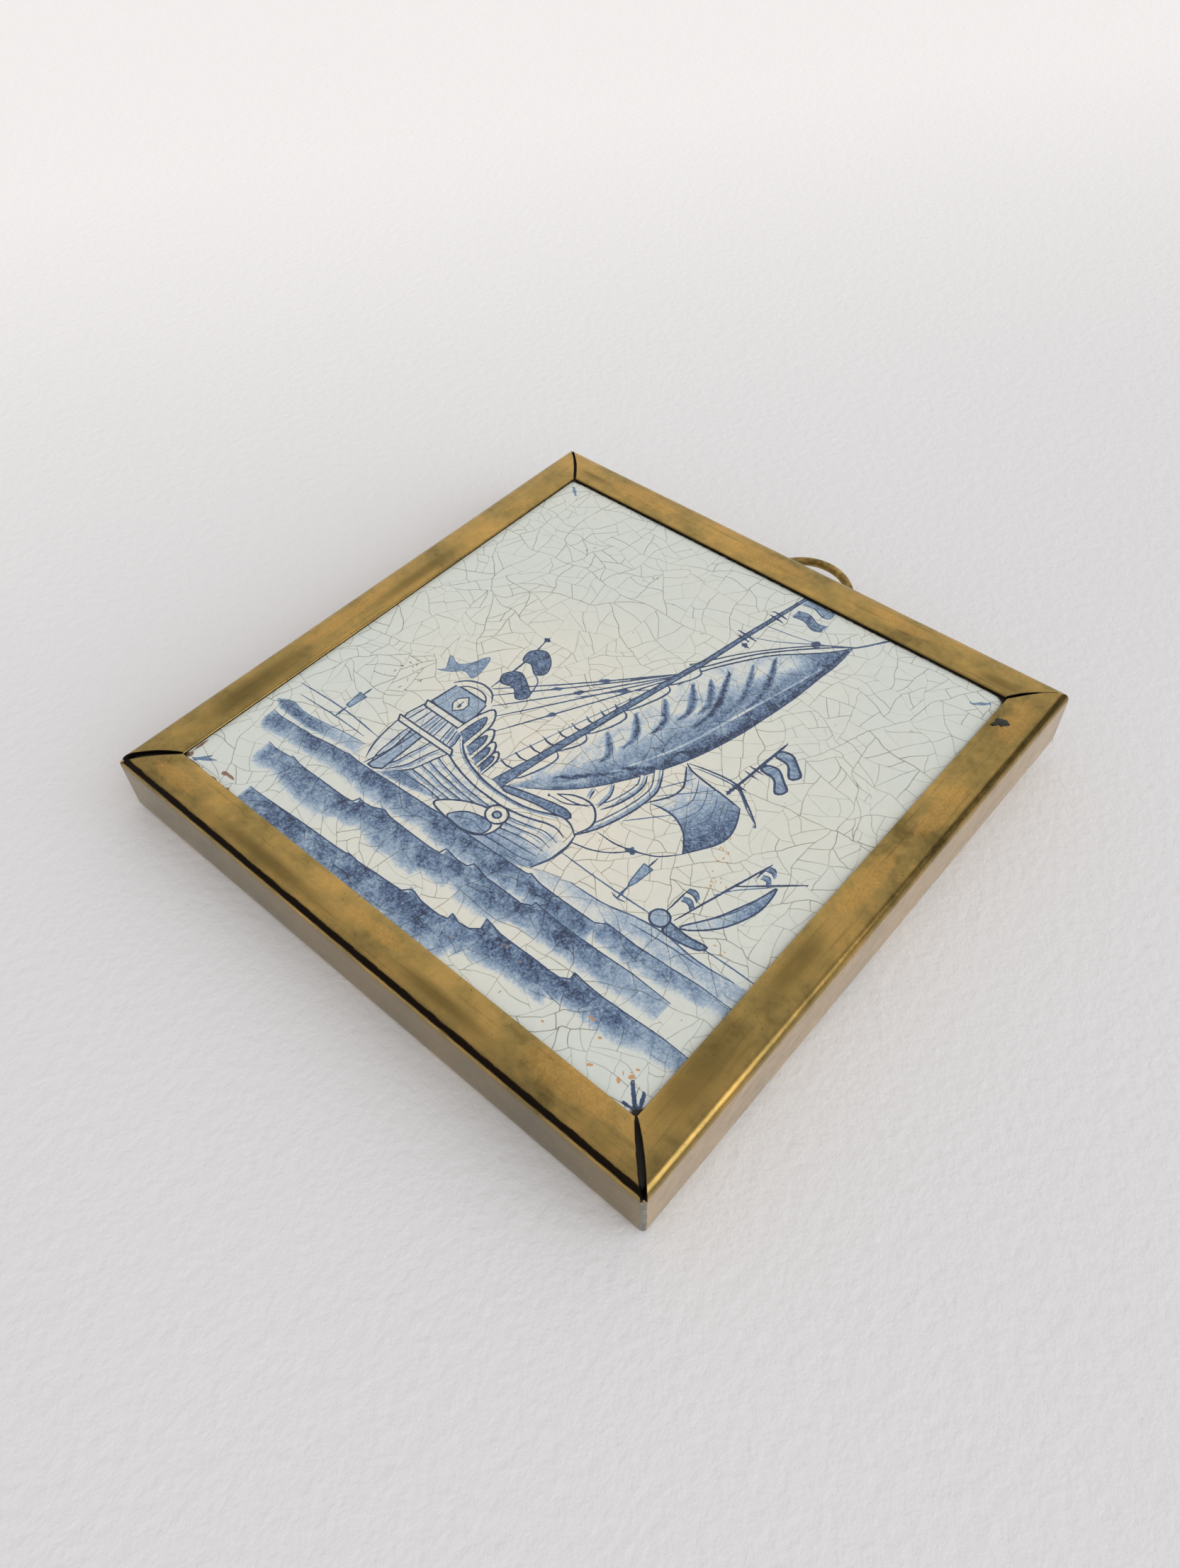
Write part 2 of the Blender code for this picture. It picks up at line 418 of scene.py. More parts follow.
def through(points, step=0.9, closed=False):
    """A smooth line through the points, with a point about every step millimetres."""
    given = np.array(points, float)
    if closed:
        padded = np.vstack([given[-1:], given, given[:2]])
    else:
        padded = np.vstack([2 * given[0] - given[1], given, 2 * given[-1] - given[-2]])
    out = []
    for a, b, c, d in zip(padded[:-3], padded[1:-2], padded[2:-1], padded[3:]):
        count = max(2, int(math.ceil(np.linalg.norm(c - b) / step)))
        t = (np.arange(count) / count)[:, None]
        squared = (2 * a - 5 * b + 4 * c - d) * t ** 2
        cubed = (3 * b - a - 3 * c + d) * t ** 3
        out.append(0.5 * (2 * b + (c - a) * t + squared + cubed))
    if not closed:
        out.append(given[-1:])
    return np.vstack(out)


def resampled(line, count):
    """The same line with count points, evenly spaced."""
    gaps = np.linalg.norm(np.diff(line, axis=0), axis=1)
    at = np.concatenate([[0], np.cumsum(gaps)])
    wanted = np.linspace(0, at[-1], count)
    return np.stack([np.interp(wanted, at, line[:, 0]), np.interp(wanted, at, line[:, 1])], 1)


def between(one, other, share):
    count = max(len(one), len(other))
    return resampled(one, count) * (1 - share) + resampled(other, count) * share


def thinned(line, slack, reach):
    """The line without points that lie within slack of a straight way past them, up to reach long."""
    if len(line) < 3:
        return line
    run = line[-1] - line[0]
    length = max(float(np.hypot(*run)), 1e-9)
    off = np.abs(run[0] * (line[:, 1] - line[0, 1]) - run[1] * (line[:, 0] - line[0, 0])) / length
    off = np.where(length < 1e-6, np.hypot(*(line - line[0]).T), off)
    worst = int(np.argmax(off))
    if off[worst] <= slack:
        if length <= reach:
            return line[[0, -1]]
        worst = len(line) // 2
    return np.vstack([thinned(line[:worst + 1], slack, reach)[:-1], thinned(line[worst:], slack, reach)])


def beside(line, distance):
    """The line moved sideways, to its left where distance is positive."""
    along = np.gradient(line, axis=0)
    along /= np.maximum(np.linalg.norm(along, axis=1), 1e-9)[:, None]
    return line + np.stack([-along[:, 1], along[:, 0]], 1) * np.reshape(distance, (-1, 1))


def nearest(points, line, values):
    """Each point's distance to the line, and the value there of one that is given along it."""
    start, run = line[:-1], np.diff(line, axis=0)
    length = np.maximum((run ** 2).sum(1), 1e-12)
    best = np.full(len(points), 1e9)
    found = np.zeros(len(points))
    for k in range(len(start)):
        t = np.clip(((points - start[k]) @ run[k]) / length[k], 0, 1)
        off = points - start[k] - t[:, None] * run[k]
        gap = np.hypot(off[:, 0], off[:, 1])
        closer = gap < best
        best[closer] = gap[closer]
        found[closer] = (values[k] + (values[k + 1] - values[k]) * t)[closer]
    return best, found


def within(points, line, reach):
    """The numbers of the points in the line's box when that is made larger by reach all round."""
    low, high = line.min(0) - reach, line.max(0) + reach
    return np.where(((points > low) & (points < high)).all(1))[0]


def inside(points, outline):
    """True for each point that the closed outline holds."""
    held = np.zeros(len(points), bool)
    ends = np.roll(outline, -1, axis=0)
    for (x0, y0), (x1, y1) in zip(outline, ends):
        if y0 == y1:
            continue
        crosses = (points[:, 1] < y0) != (points[:, 1] < y1)
        held ^= crosses & (points[:, 0] < (x1 - x0) * (points[:, 1] - y0) / (y1 - y0) + x0)
    return held


def soft_step(value, low, high):
    t = np.clip((value - low) / (high - low), 0, 1)
    return t * t * (3 - 2 * t)


def waver(points, size, seed):
    """Smooth noise from -1 to 1 at flat points, with features of about size millimetres."""
    return np.array([noise.noise(Vector((u / size, v / size, seed))) for u, v in points])


def set_floats(mesh, name, values):
    made = mesh.attributes.new(name, "FLOAT", "POINT")
    made.data.foreach_set("value", np.asarray(values, np.float32))


def add_object(name, data):
    made = bpy.data.objects.new(name, data)
    bpy.context.scene.collection.objects.link(made)
    return made


def on_face(u, v, y):
    """A place from one on the tile's face and a depth, all in millimetres."""
    return CENTRE_X + u, y, CENTRE_Z + v


def mesh_of(name, places, faces):
    """A smooth mesh from places in millimetres."""
    mesh = bpy.data.meshes.new(name)
    mesh.from_pydata([tuple(c * MM for c in p) for p in places], [], faces)
    mesh.shade_smooth()
    return mesh


def make_piece(name, mesh, look, body):
    piece = add_object(name, mesh)
    mesh.materials.clear()
    mesh.materials.append(look)
    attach(piece, body)
    return piece


def thickened(sheet, thickness, even=False):
    """The mesh of an open sheet, given a thickness in millimetres on its inner side."""
    holder = add_object(sheet.name, sheet)
    thick = holder.modifiers.new("thickness", "SOLIDIFY")
    thick.thickness = thickness * MM
    thick.offset = -1
    thick.use_even_offset = even
    graph = bpy.context.evaluated_depsgraph_get()
    mesh = bpy.data.meshes.new_from_object(holder.evaluated_get(graph), depsgraph=graph)
    bpy.data.objects.remove(holder, do_unlink=True)
    return mesh


# The painting

class Painting:
    """Brush lines and washes in the order they are laid on the face. A cover hides what lies under it."""

    HAND = 0.07          # how far the hand wavers
    BRUSH = 1.18         # how much wider than asked the brush draws
    RULED_STEP = 2.2     # between the points of a line that isn't curved
    COVER_EDGE = 0.08
    PLAIN_INK = 0.8      # where no line has been drawn

    def __init__(self):
        self.items = []

    def line(self, points, width=0.42, ink=0.96, smooth=True, ends=0.5, closed=False):
        line = through(points, closed=closed) if smooth else np.array(points, float)
        if closed:
            line = np.vstack([line, line[:1]])
        if not smooth:
            length = np.linalg.norm(np.diff(line, axis=0), axis=1).sum()
            line = resampled(line, int(length / self.RULED_STEP) + 2)
        seed = len(self.items) * 3.7
        if len(line) > 2:
            line = beside(line, self.HAND * waver(line, 4.0, seed))
        t = np.linspace(0, 1, len(line))
        width *= self.BRUSH
        widths = width * (1 - (1 - ends) * np.abs(2 * t - 1) ** 5) * (1 + 0.18 * waver(line, 3.0, seed + 1))
        if closed:
            line[-1] = line[0]
            widths = np.full(len(line), width)
        self.items.append(("line", line, widths / 2, ink))
        return line

    def straight(self, start, end, **settings):
        return self.line([start, end], smooth=False, **settings)

    def wash(self, outline, tone, edge=0.22):
        """An area of pigment. Its tone is a number, or a function of the points."""
        self.items.append(("wash", np.array(outline, float), tone, edge))

    def stroke(self, points, width, tone):
        """A soft brush stroke of pigment, widest in its middle."""
        line = through(points)
        t = np.linspace(0, 1, len(line))
        half_widths = width / 2 * (0.25 + 0.75 * np.sin(math.pi * np.clip(t * 0.86 + 0.08, 0, 1)))
        self.items.append(("stroke", line, half_widths, tone))

    def cover(self, outline):
        """Clears an area down to the white glaze."""
        self.items.append(("cover", np.array(outline, float), 0.0, self.COVER_EDGE))

    def shape(self, points, tone, width=0.4, ink=0.96, smooth=True):
        """A closed outline with a wash in it, over what was there."""
        self.items.append(None)
        place = len(self.items) - 1
        line = self.line(points, width=width, ink=ink, smooth=smooth, closed=True)
        self.items[place] = ("cover", line[:-1], 0.0, self.COVER_EDGE)
        self.wash(line[:-1], tone)
        return line

    def blob(self, centre, length, breadth, turn=0.0, ink=0.95):
        """A short fat dab."""
        reach = Vector((math.cos(turn), math.sin(turn))) * length / 2
        middle = Vector(centre)
        points = [middle - reach, middle, middle + reach]
        line = resampled(np.array(points), 7)
        t = np.linspace(-1, 1, 7)
        half_widths = np.maximum(breadth / 2 * np.sqrt(np.maximum(1 - t * t, 0)), 0.08)
        self.items.append(("line", line, half_widths, ink))

    def constraints(self):
        """The lines that the face's triangles have to follow."""
        for kind, line, value, edge in self.items:
            if kind in ("line", "stroke"):
                reach = 2 * value if kind == "line" else value
                yield line
                yield beside(line, reach)
                yield beside(line, -reach)
                continue
            looped = np.vstack([line, line[:1]])
            yield beside(looped, edge)
            yield beside(looped, -edge)

    def pigment(self, points):
        """For each point: how far inside a line it is (0.5 at its edge), that line's ink, and the wash."""
        edge = np.zeros(len(points))
        ink = np.full(len(points), self.PLAIN_INK)
        wash = np.zeros(len(points))
        for kind, line, value, last in self.items:
            reach = last if kind in ("wash", "cover") else 2 * value.max()
            near = within(points, line, reach)
            if not len(near):
                continue
            here = points[near]
            if kind == "line":
                gap, half = nearest(here, line, value)
                level = np.clip(1 - gap / (2 * half), 0, 1)
                better = level > edge[near]
                edge[near[better]] = level[better]
                ink[near[better]] = last
                continue
            if kind == "stroke":
                gap, half = nearest(here, line, value)
                wash[near] = np.maximum(wash[near], last * soft_step(1 - gap / half, 0, 0.8))
                continue
            gap, _ = nearest(here, np.vstack([line, line[:1]]), np.zeros(len(line) + 1))
            share = np.clip(0.5 + np.where(inside(here, line), gap, -gap) / (2 * last), 0, 1)
            if kind == "cover":
                wash[near] *= 1 - share
                edge[near] *= 1 - share
                continue
            tone = value(here) if callable(value) else value
            wash[near] = np.maximum(wash[near], tone * share)
        return edge, ink, wash


# Lines of the ship that several parts keep to
MAST = [(-5.6, -23.2), (-3.0, -9.6), (-0.7, 2.0), (3.1, 20.9), (4.7, 27.8), (6.5, 38.9), (9.9, 58.4)]
LUFF = [
    (25.9, 50.6), (21.6, 45.2), (17.4, 41.4), (12.6, 36.2), (5.4, 24.0), (4.6, 15.6), (2.4, 5.0), (0.4, -5.0),
    (-1.4, -14.0), (-4.2, -23.0),
]
LEECH = [
    (25.9, 50.6), (26.1, 45.2), (25.6, 39.9), (24.3, 27.8), (21.1, 11.9), (16.3, -0.3), (7.3, -14.0),
    (-4.2, -23.0),
]
RAIL = [
    (-20.0, -16.4), (-17.6, -20.2), (-12.6, -23.0), (-5.2, -24.4), (3.4, -23.6), (10.2, -21.0), (14.2, -23.0),
]
WATER = [
    (-28.6, -36.0), (-20.0, -34.4), (-9.4, -34.3), (-4.0, -35.2), (3.0, -34.9), (9.6, -34.7), (13.0, -33.2),
]
SEAM = (0.755, 0.80)     # the pale seam of the great sail, as shares of the way from its luff to its leech


def oval(centre, across, up, count):
    """Points round an oval."""
    turns = np.arange(count) * math.tau / count
    return [(centre[0] + across * math.cos(a), centre[1] + up * math.sin(a)) for a in turns]


def band(one, other):
    """The closed outline between two lines that run the same way."""
    return np.vstack([one, other[::-1]])


def sail_tone(luff, leech):
    """The great sail's wash, darker towards its outer edge and its peak, with a pale seam."""
    count = len(luff)

    def tone(points):
        gap_luff, _ = nearest(points, luff, np.zeros(count))
        gap_leech, down = nearest(points, leech, np.linspace(0, 1, count))
        across = gap_luff / np.maximum(gap_luff + gap_leech, 1e-6)
        long = waver(points * (1.0, 0.3), 2.0, 4.0)
        blot = waver(points, 3.4, 14.0)
        body = 0.12 + 0.36 * soft_step(across, 0.3, 0.7) + 0.12 * long + 0.10 * blot
        body += 0.45 * soft_step(points[:, 1], 38, 47)
        outer = 0.62 + 0.26 * soft_step(across, 0.86, 0.97) + 0.35 * blot - 0.22 * soft_step(down, 0.5, 0.8)
        body = np.where(across > SEAM[1], outer, body)
        seam = (across > SEAM[0]) & (across < SEAM[1]) & (down > 0.12)
        return np.clip(np.where(seam, 0.2 + 0.2 * long, body), 0.08, 0.95)

    return tone


def paint_folds(picture):
    """The great sail's folds: some from the luff towards the middle, and some along the outer edge."""
    for u, v, reach, dark in (
        (15.4, 38.0, 15.0, 0.85), (13.2, 33.2, 14.0, 0.72), (10.6, 28.6, 16.0, 0.9), (9.0, 24.6, 9.0, 0.75),
        (7.0, 21.2, 9.0, 0.85), (5.2, 14.4, 8.4, 0.8), (3.3, 7.6, 8.0, 0.75), (2.2, 0.2, 6.5, 0.7),
    ):
        fold = [(u, v), (u + 2.3, v - reach * 0.32), (u + 3.9, v - reach * 0.66), (u + 3.8, v - reach)]
        picture.stroke(fold, 2.3, dark)
    for u, v, turn, length, dark in (
        (24.9, 44.0, 1.5, 12.0, 0.95), (24.0, 33.0, 1.5, 9.0, 0.9), (17.8, 7.2, 0.9, 6.0, 0.95),
        (12.4, -3.0, 0.75, 7.0, 0.9), (8.0, -8.6, 0.8, 8.0, 0.8), (4.4, -12.6, 0.7, 6.0, 0.85),
    ):
        du, dv = length / 2 * math.cos(turn), length / 2 * math.sin(turn)
        picture.stroke([(u - du, v - dv), (u + 0.3, v), (u + du, v + dv)], 1.7, dark)


def paint_sprit(picture):
    """A pole of two lines up to the sail's peak and on, with its ropes."""
    for shift, width in ((0.0, 0.36), (1.1, 0.3)):
        pole = [(4.4 - shift, 25.0 + shift), (11.6 - shift, 36.6), (20.4 - shift, 46.2), (26.4, 51.4)]
        picture.line(pole, width=width)
    picture.line([(26.2, 51.0), (28.4, 54.2), (30.8, 57.8)], width=0.42, ink=0.75)
    for points in (
        [(8.0, 45.0), (13.8, 45.9), (18.6, 47.0)], [(8.2, 40.3), (13.2, 42.7), (19.2, 46.8), (25.4, 50.4)],
    ):
        picture.line(points, width=0.22, ink=0.6)
    picture.blob((19.4, 46.9), 2.4, 1.9, turn=0.6, ink=0.85)


def paint_sail(picture):
    count = 90
    luff, leech = resampled(through(LUFF), count), resampled(through(LEECH), count)
    picture.wash(band(luff, leech), sail_tone(luff, leech), edge=0.25)
    for share in SEAM:
        picture.stroke(between(luff, leech, share)[14:80:9], 0.5, 0.5)
    paint_folds(picture)
    picture.line(luff[:46:6], width=0.34)
    picture.line(leech[::6], width=0.34, ink=0.9)
    paint_sprit(picture)


def paint_lobes(picture, right):
    """Lobes of cloth that are tied to the mast's right side."""
    for start, end, out in (
        (0.50, 0.61, 1.8), (0.38, 0.50, 1.7), (0.27, 0.38, 1.9), (0.17, 0.27, 1.6), (0.05, 0.17, 1.7),
    ):
        low, high = right[int(start * len(right))], right[int(end * len(right))]
        middle = high * 0.55 + low * 0.45 + (out, 0)
        bulge = [high, high + (out * 0.8, -1.2), middle, low + (out * 0.55, 1.2), low]
        picture.cover(through(bulge))
        picture.line(bulge, width=0.34, ink=0.82)


def paint_ladder(picture, left):
    """Rungs between a thin rail and the mast's left side."""
    rail = [(1.5, 14.6), (-2.2, 4.0), (-5.6, -7.0), (-9.6, -20.8)]
    picture.line(rail, width=0.2, ink=0.6)
    line = through(rail)
    for v in np.arange(13.2, -20.8, -3.15):
        u = float(np.interp(-v, -line[:, 1], line[:, 0]))
        edge = float(np.interp(v, left[:, 1], left[:, 0]))
        picture.line([(u - 0.3, v + 0.1), ((u + edge) / 2, v - 0.35), (edge, v - 0.1)], width=0.36)


def paint_mast(picture):
    middle = through(MAST)
    share = np.linspace(0, 1, len(middle))
    half = np.interp(share, (0, 0.1, 0.3, 0.6, 1), (1.35, 0.85, 0.66, 0.55, 0.34))
    left, right = beside(middle, half), beside(middle, -half)
    paint_lobes(picture, right)
    picture.cover(band(left, right))
    picture.wash(band(left, right), lambda p: 0.62 + 0.2 * waver(p * (1, 0.4), 1.4, 3.0), edge=0.12)
    for side in (left, right):
        picture.line(side[::5], width=0.3, ink=0.95)
    for v, reach in ((49.6, 1.5), (48.2, 1.5), (40.0, 2.0), (38.9, 1.2)):
        u = float(np.interp(v, middle[:, 1], middle[:, 0]))
        picture.straight((u - reach, v + 0.15), (u + reach + 0.4, v - 0.2), width=0.5)
    picture.blob((8.2, 37.3), 2.2, 1.3, turn=-0.1, ink=0.85)
    paint_ladder(picture, left)


def paint_stays(picture):
    """Ropes from the mast to the stern. Some have a block."""
    knot = (3.3, 22.4)
    for u, v, block in (
        (-23.6, -5.6, 0.42), (-22.8, -7.4, 0.66), (-20.2, -9.0, 0.55), (-18.2, -11.2, 0.0),
        (-15.0, -13.4, 0.72),
    ):
        top = np.array(knot) - (0.0, 0.16 * (u + 24))
        foot = np.array((u, v))
        sag = (top + foot) / 2 + (-0.3, -0.8)
        line = through([top, sag, foot])
        picture.line([top, sag, foot], width=0.3, ink=0.85)
        if block:
            at = line[int(block * (len(line) - 1))]
            turn = math.atan2(knot[1] - v, knot[0] - u)
            picture.blob(tuple(at), 2.7, 1.2, turn=turn, ink=0.8)
    picture.line([(1.9, 15.4), (-3.6, 9.8), (-9.0, 3.4)], width=0.26, ink=0.7)
    picture.blob((-2.9, 10.9), 2.4, 1.1, turn=0.9, ink=0.85)


def paint_foresail(picture):
    top = through([(19.0, 4.0), (21.6, 2.9), (28.5, 2.1), (33.4, 1.5)])
    right = through([(33.4, 1.5), (35.3, -2.6), (35.4, -7.1), (31.7, -13.5)])
    foot = through([(31.7, -13.5), (29.0, -9.8), (24.8, -7.7), (19.4, -8.2)])
    left = through([(19.4, -8.2), (21.6, -4.8), (22.2, -1.3), (19.0, 4.0)])
    body = np.vstack([top, right[1:], foot[1:], left[1:-1]])

    def tone(points):
        painted_light_slope = soft_step(points[:, 0] - points[:, 1] * 0.35, 23, 38)
        return 0.14 + 0.55 * painted_light_slope + 0.14 * waver(points, 1.8, 9.0)

    picture.cover(body)
    picture.wash(body, tone)
    for line in (top, right, foot, left):
        picture.line(line[::3], width=0.34)
    for share in (0.24, 0.42, 0.6, 0.8):
        picture.line(between(left[::-1], right, share)[2:-2:4], width=0.24, ink=0.66)
    # Yard, its braces and the pole
    picture.line([(19.4, 4.2), (24.6, 5.4), (29.6, 5.6), (34.0, 3.0), (37.6, 0.5)], width=0.32)
    picture.line([(21.4, 4.1), (26.0, 5.0), (30.4, 4.9), (34.6, 2.0), (37.4, 0.4)], width=0.24, ink=0.7)
    for start, end in (
        ((22.6, 2.0), (18.8, -4.4)), ((27.4, 2.2), (19.8, -6.0)), ((24.6, -7.8), (18.6, -14.6)),
    ):
        picture.straight(start, end, width=0.22, ink=0.66)
    picture.straight((30.9, 20.2), (29.5, 2.7), width=0.5, ink=0.95)
    for v, reach in ((11.1, 1.3), (9.5, 1.3), (5.8, 1.4)):
        picture.straight((30.0 - reach, v), (30.3 + reach, v - 0.2), width=0.36)
    for k in range(3):
        picture.blob((29.6 - 0.1 * k, 5.0 - 0.9 * k), 1.0, 0.8, ink=0.95)


def paint_flag(picture, start, height, bands, dark=0.8):
    """A flag on a pole. It flies along the offsets from start, and its bands are tones from top to bottom."""
    for k, tone in enumerate(bands):
        drop = height * k / len(bands)
        upper = np.array([(u + 0.15 * drop, v - drop) for u, v in start], float)
        lower = upper + (0.1, -height / len(bands))
        upper, lower = through(upper, 0.6), through(lower, 0.6)
        if tone > 0.02:
            picture.wash(band(upper, lower), lambda p, t=tone: t * (0.85 + 0.3 * waver(p, 1.2, 6.0)))
        picture.line(upper[::2], width=0.28, ink=dark)
        if k == len(bands) - 1:
            picture.line(lower[::2], width=0.28, ink=dark)
            notch = (upper[-1] + lower[-1]) / 2 - (0.7, 0)
            picture.line([upper[-1], notch, lower[-1]], width=0.28, ink=dark)


def paint_flags(picture):
    # On the masthead
    paint_flag(picture, [(9.9, 57.8), (12.6, 58.2), (15.4, 57.0), (17.4, 57.6)], 7.0, (0.5, 0.0, 0.7))
    # On the stern: two dark flows of cloth with a white one between
    picture.line([(-24.7, 11.4), (-23.9, 3.0), (-24.2, -5.4)], width=0.34)
    picture.blob((-24.8, 12.2), 1.7, 1.5, turn=1.57)
    for points, tone in (
        ([(-25.2, 7.4), (-22.6, 9.4), (-19.6, 7.6), (-18.2, 4.6), (-19.8, 2.9), (-22.4, 4.6), (-24.6, 4.4)],
         0.68),
        ([(-24.9, -1.0), (-22.6, 1.4), (-19.2, 0.0), (-16.4, -2.4), (-18.0, -4.6), (-20.6, -2.6),
          (-23.6, -3.2)], 0.72),
    ):
        picture.shape(points, lambda p, t=tone: t + 0.22 * waver(p, 1.6, 8.0), width=0.26)
    picture.line([(-19.6, 2.8), (-17.8, 1.6), (-16.4, -2.4)], width=0.26, ink=0.75)
    # Plain pennant further left
    pennant = [
        (-36.4, -8.8), (-35.2, -7.6), (-37.2, -4.2), (-34.4, -5.0), (-32.4, -3.2), (-30.6, 0.6),
        (-29.2, -2.2), (-28.9, -6.0), (-31.8, -5.6), (-33.6, -7.4),
    ]
    picture.shape(pennant, lambda p: 0.42 + 0.22 * waver(p, 1.8, 2.0), width=0.2, ink=0.6)
    # On the foremast: two flows
    flow = ((31.0, 17.8), (33.3, 18.4), (35.8, 16.6), (37.6, 14.9), (36.2, 13.2), (34.0, 15.9), (31.0, 16.2))
    for drop in (0.0, -4.6):
        cloth = [(u, v + drop) for u, v in flow]
        picture.shape(cloth, lambda p: 0.42 + 0.3 * waver(p, 1.3, 5.0), width=0.42)


def paint_bow(picture):
    # Two long curves of the jib, and its lower folds
    outer = through([(16.6, -0.4), (19.0, -5.0), (18.6, -11.4), (16.4, -18.6), (13.6, -23.4)])
    inner = through([(15.2, -3.4), (16.4, -6.4), (15.4, -12.0), (13.8, -15.2)])
    for line, breadth in ((outer, 1.5), (inner, 1.3)):
        other = beside(line, -breadth)
        picture.cover(band(line, other))
        picture.stroke((line * 0.65 + other * 0.35)[::4], breadth * 0.8, 0.42)
        picture.line(line[::3], width=0.36)
        picture.line(other[::3], width=0.26, ink=0.75)
    for points in ([(11.8, -9.0), (13.0, -11.4), (13.0, -15.0)], [(9.8, -12.4), (10.4, -14.6)]):
        picture.line(points, width=0.3)
        picture.stroke([(p[0] - 0.5, p[1]) for p in points], 1.0, 0.4)
    # Boom and the folded cloth over the bow
    boom = [(-3.8, -22.4), (1.0, -20.9), (8.9, -19.3), (10.4, -20.9), (3.2, -22.1), (-3.2, -23.5)]
    picture.shape(boom, lambda p: 0.55 + 0.25 * waver(p * (0.5, 1), 1.2, 7.0), width=0.3)
    roll = [
        (5.0, -17.6), (7.9, -15.8), (11.6, -15.3), (14.2, -17.2), (15.0, -19.8), (13.6, -23.2), (11.4, -20.8),
        (10.2, -17.4),
    ]
    picture.cover(through(roll, closed=True))
    picture.line(roll[:6], width=0.34)
    for points in (
        # Creases of the cloth
        [(5.0, -17.6), (8.8, -17.2), (11.6, -16.2)], [(4.4, -18.8), (8.0, -18.2), (11.8, -15.6)],
        # Ropes from the bow
        [(16.8, -19.6), (20.6, -19.6), (24.0, -18.8), (28.4, -17.0), (31.7, -13.6)],
        [(13.8, -24.6), (18.4, -23.4), (21.8, -21.4), (24.4, -18.8)],
    ):
        picture.line(points, width=0.26)
    picture.blob((24.3, -18.8), 2.6, 1.8, turn=0.4, ink=0.85)     # the ropes' knot


def paint_leeboard(picture):
    """The board on the hull's side, with its round boss."""
    board = [
        (-11.4, -34.0), (-8.4, -30.8), (-3.4, -28.6), (1.2, -28.4), (2.2, -30.6), (1.2, -33.4), (-1.4, -34.9),
        (-5.4, -35.1),
    ]
    picture.shape(board, 0.06, width=0.34)
    inner = [
        (-7.4, -34.4), (-5.4, -31.8), (-1.8, -30.6), (0.8, -31.0), (0.8, -33.4), (-1.8, -34.8), (-5.2, -35.0),
    ]
    picture.shape(inner, lambda p: 0.42 + 0.2 * waver(p, 2.0, 3.0), width=0.28)
    picture.line([(-6.0, -33.8), (-2.8, -32.4), (0.4, -33.0)], width=0.24, ink=0.7)
    for radius, tone in ((2.3, 0.03), (0.85, 0.3)):
        picture.shape(oval((-0.2, -28.5), radius, 0.92 * radius, 9), tone, width=0.34)


def paint_hull(picture):
    rail, water = through(RAIL), through(WATER)
    body = np.vstack([rail, [(14.7, -25.6), (14.4, -29.4)], water[::-1]])

    def tone(points):
        low = soft_step(-points[:, 1], 27.5, 34) * soft_step(points[:, 0], -6, 6)
        return 0.10 + 0.34 * low + 0.16 * waver(points * (0.5, 1), 1.6, 11.0)

    picture.cover(body)
    picture.wash(body, tone)
    deck = between(rail, water, 0.20)
    picture.cover(band(rail, deck))
    picture.line(rail[::3], width=0.4, ink=0.9)
    picture.line(deck[::3], width=0.36)
    picture.stroke(between(rail, water, 0.04)[4:-4:4], 0.7, 0.45)
    for share in (0.34, 0.47, 0.60, 0.73, 0.86):
        plank = between(rail, water, share)
        plank = plank + np.stack([np.zeros(len(plank)), 0.3 * waver(plank, 5.0, share * 9)], 1)
        picture.line(plank[::4], width=0.28, ink=0.82)
        picture.stroke((plank - (0, 0.45))[2:-2:5], 0.8, 0.36)
    picture.line([(14.2, -23.0), (14.7, -26.0), (14.2, -29.8), (12.8, -33.2)], width=0.4, ink=0.9)
    shadow = [(-24.4, -31.6), (-20.0, -31.8), (-13.4, -33.4), (-18.6, -34.8), (-25.2, -35.6)]
    picture.wash(shadow, 0.55, edge=0.5)
    paint_leeboard(picture)


def paint_transom(picture):
    """The transom with its wavy planks, and the rudder before it."""
    edge = through([(-32.2, -23.6), (-31.7, -28.6), (-30.8, -32.2), (-28.8, -36.0)])
    side = through([(-17.8, -23.6), (-19.4, -27.6), (-20.8, -31.4), (-24.8, -35.4)])
    picture.cover(band(edge, side))
    picture.wash(band(edge, side), 0.10)
    for share in (0.0, 0.22, 0.44, 0.66, 0.85, 1.0):
        plank = between(edge, side, share)
        plank = plank + np.stack([0.35 * waver(plank, 4.0, share * 9), np.zeros(len(plank))], 1)
        picture.line(plank[::3], width=0.3)
        if 0 < share < 1:
            picture.stroke((plank + (0.6, 0))[::4], 1.0, 0.34)
    rudder = [(-28.2, -22.6), (-25.2, -22.4), (-25.1, -35.0), (-28.2, -36.2), (-27.4, -30.2)]
    picture.shape(rudder, 0.30, width=0.34, smooth=False)
    picture.line([(-26.8, -23.2), (-27.4, -29.4), (-29.0, -35.8)], width=0.3)


def paint_counter(picture):
    """The counter, with upright battens between two mouldings."""
    counter = [(-31.2, -17.2), (-20.0, -17.4), (-18.4, -22.8), (-32.4, -22.8)]
    picture.shape(counter, 0.12, width=0.3, smooth=False)
    for share in np.linspace(0.08, 0.92, 7):
        top, foot = (-31.0 + 10.8 * share, -17.9), (-32.0 + 13.2 * share, -22.5)
        picture.straight(top, foot, width=0.26)
        if int(share * 10) % 2:
            picture.stroke([(top[0] + 0.7, top[1]), (foot[0] + 0.8, foot[1])], 1.3, 0.5)
    for left, right, v, height in ((-31.6, -19.4, -17.0, 1.6), (-33.0, -17.4, -23.2, 1.4)):
        up, down = v + height / 2, v - height / 2
        moulding = [(left, up), (right, up), (right + 0.3, down), (left + 0.2, down)]
        picture.shape(moulding, 0.04, width=0.32, smooth=False)


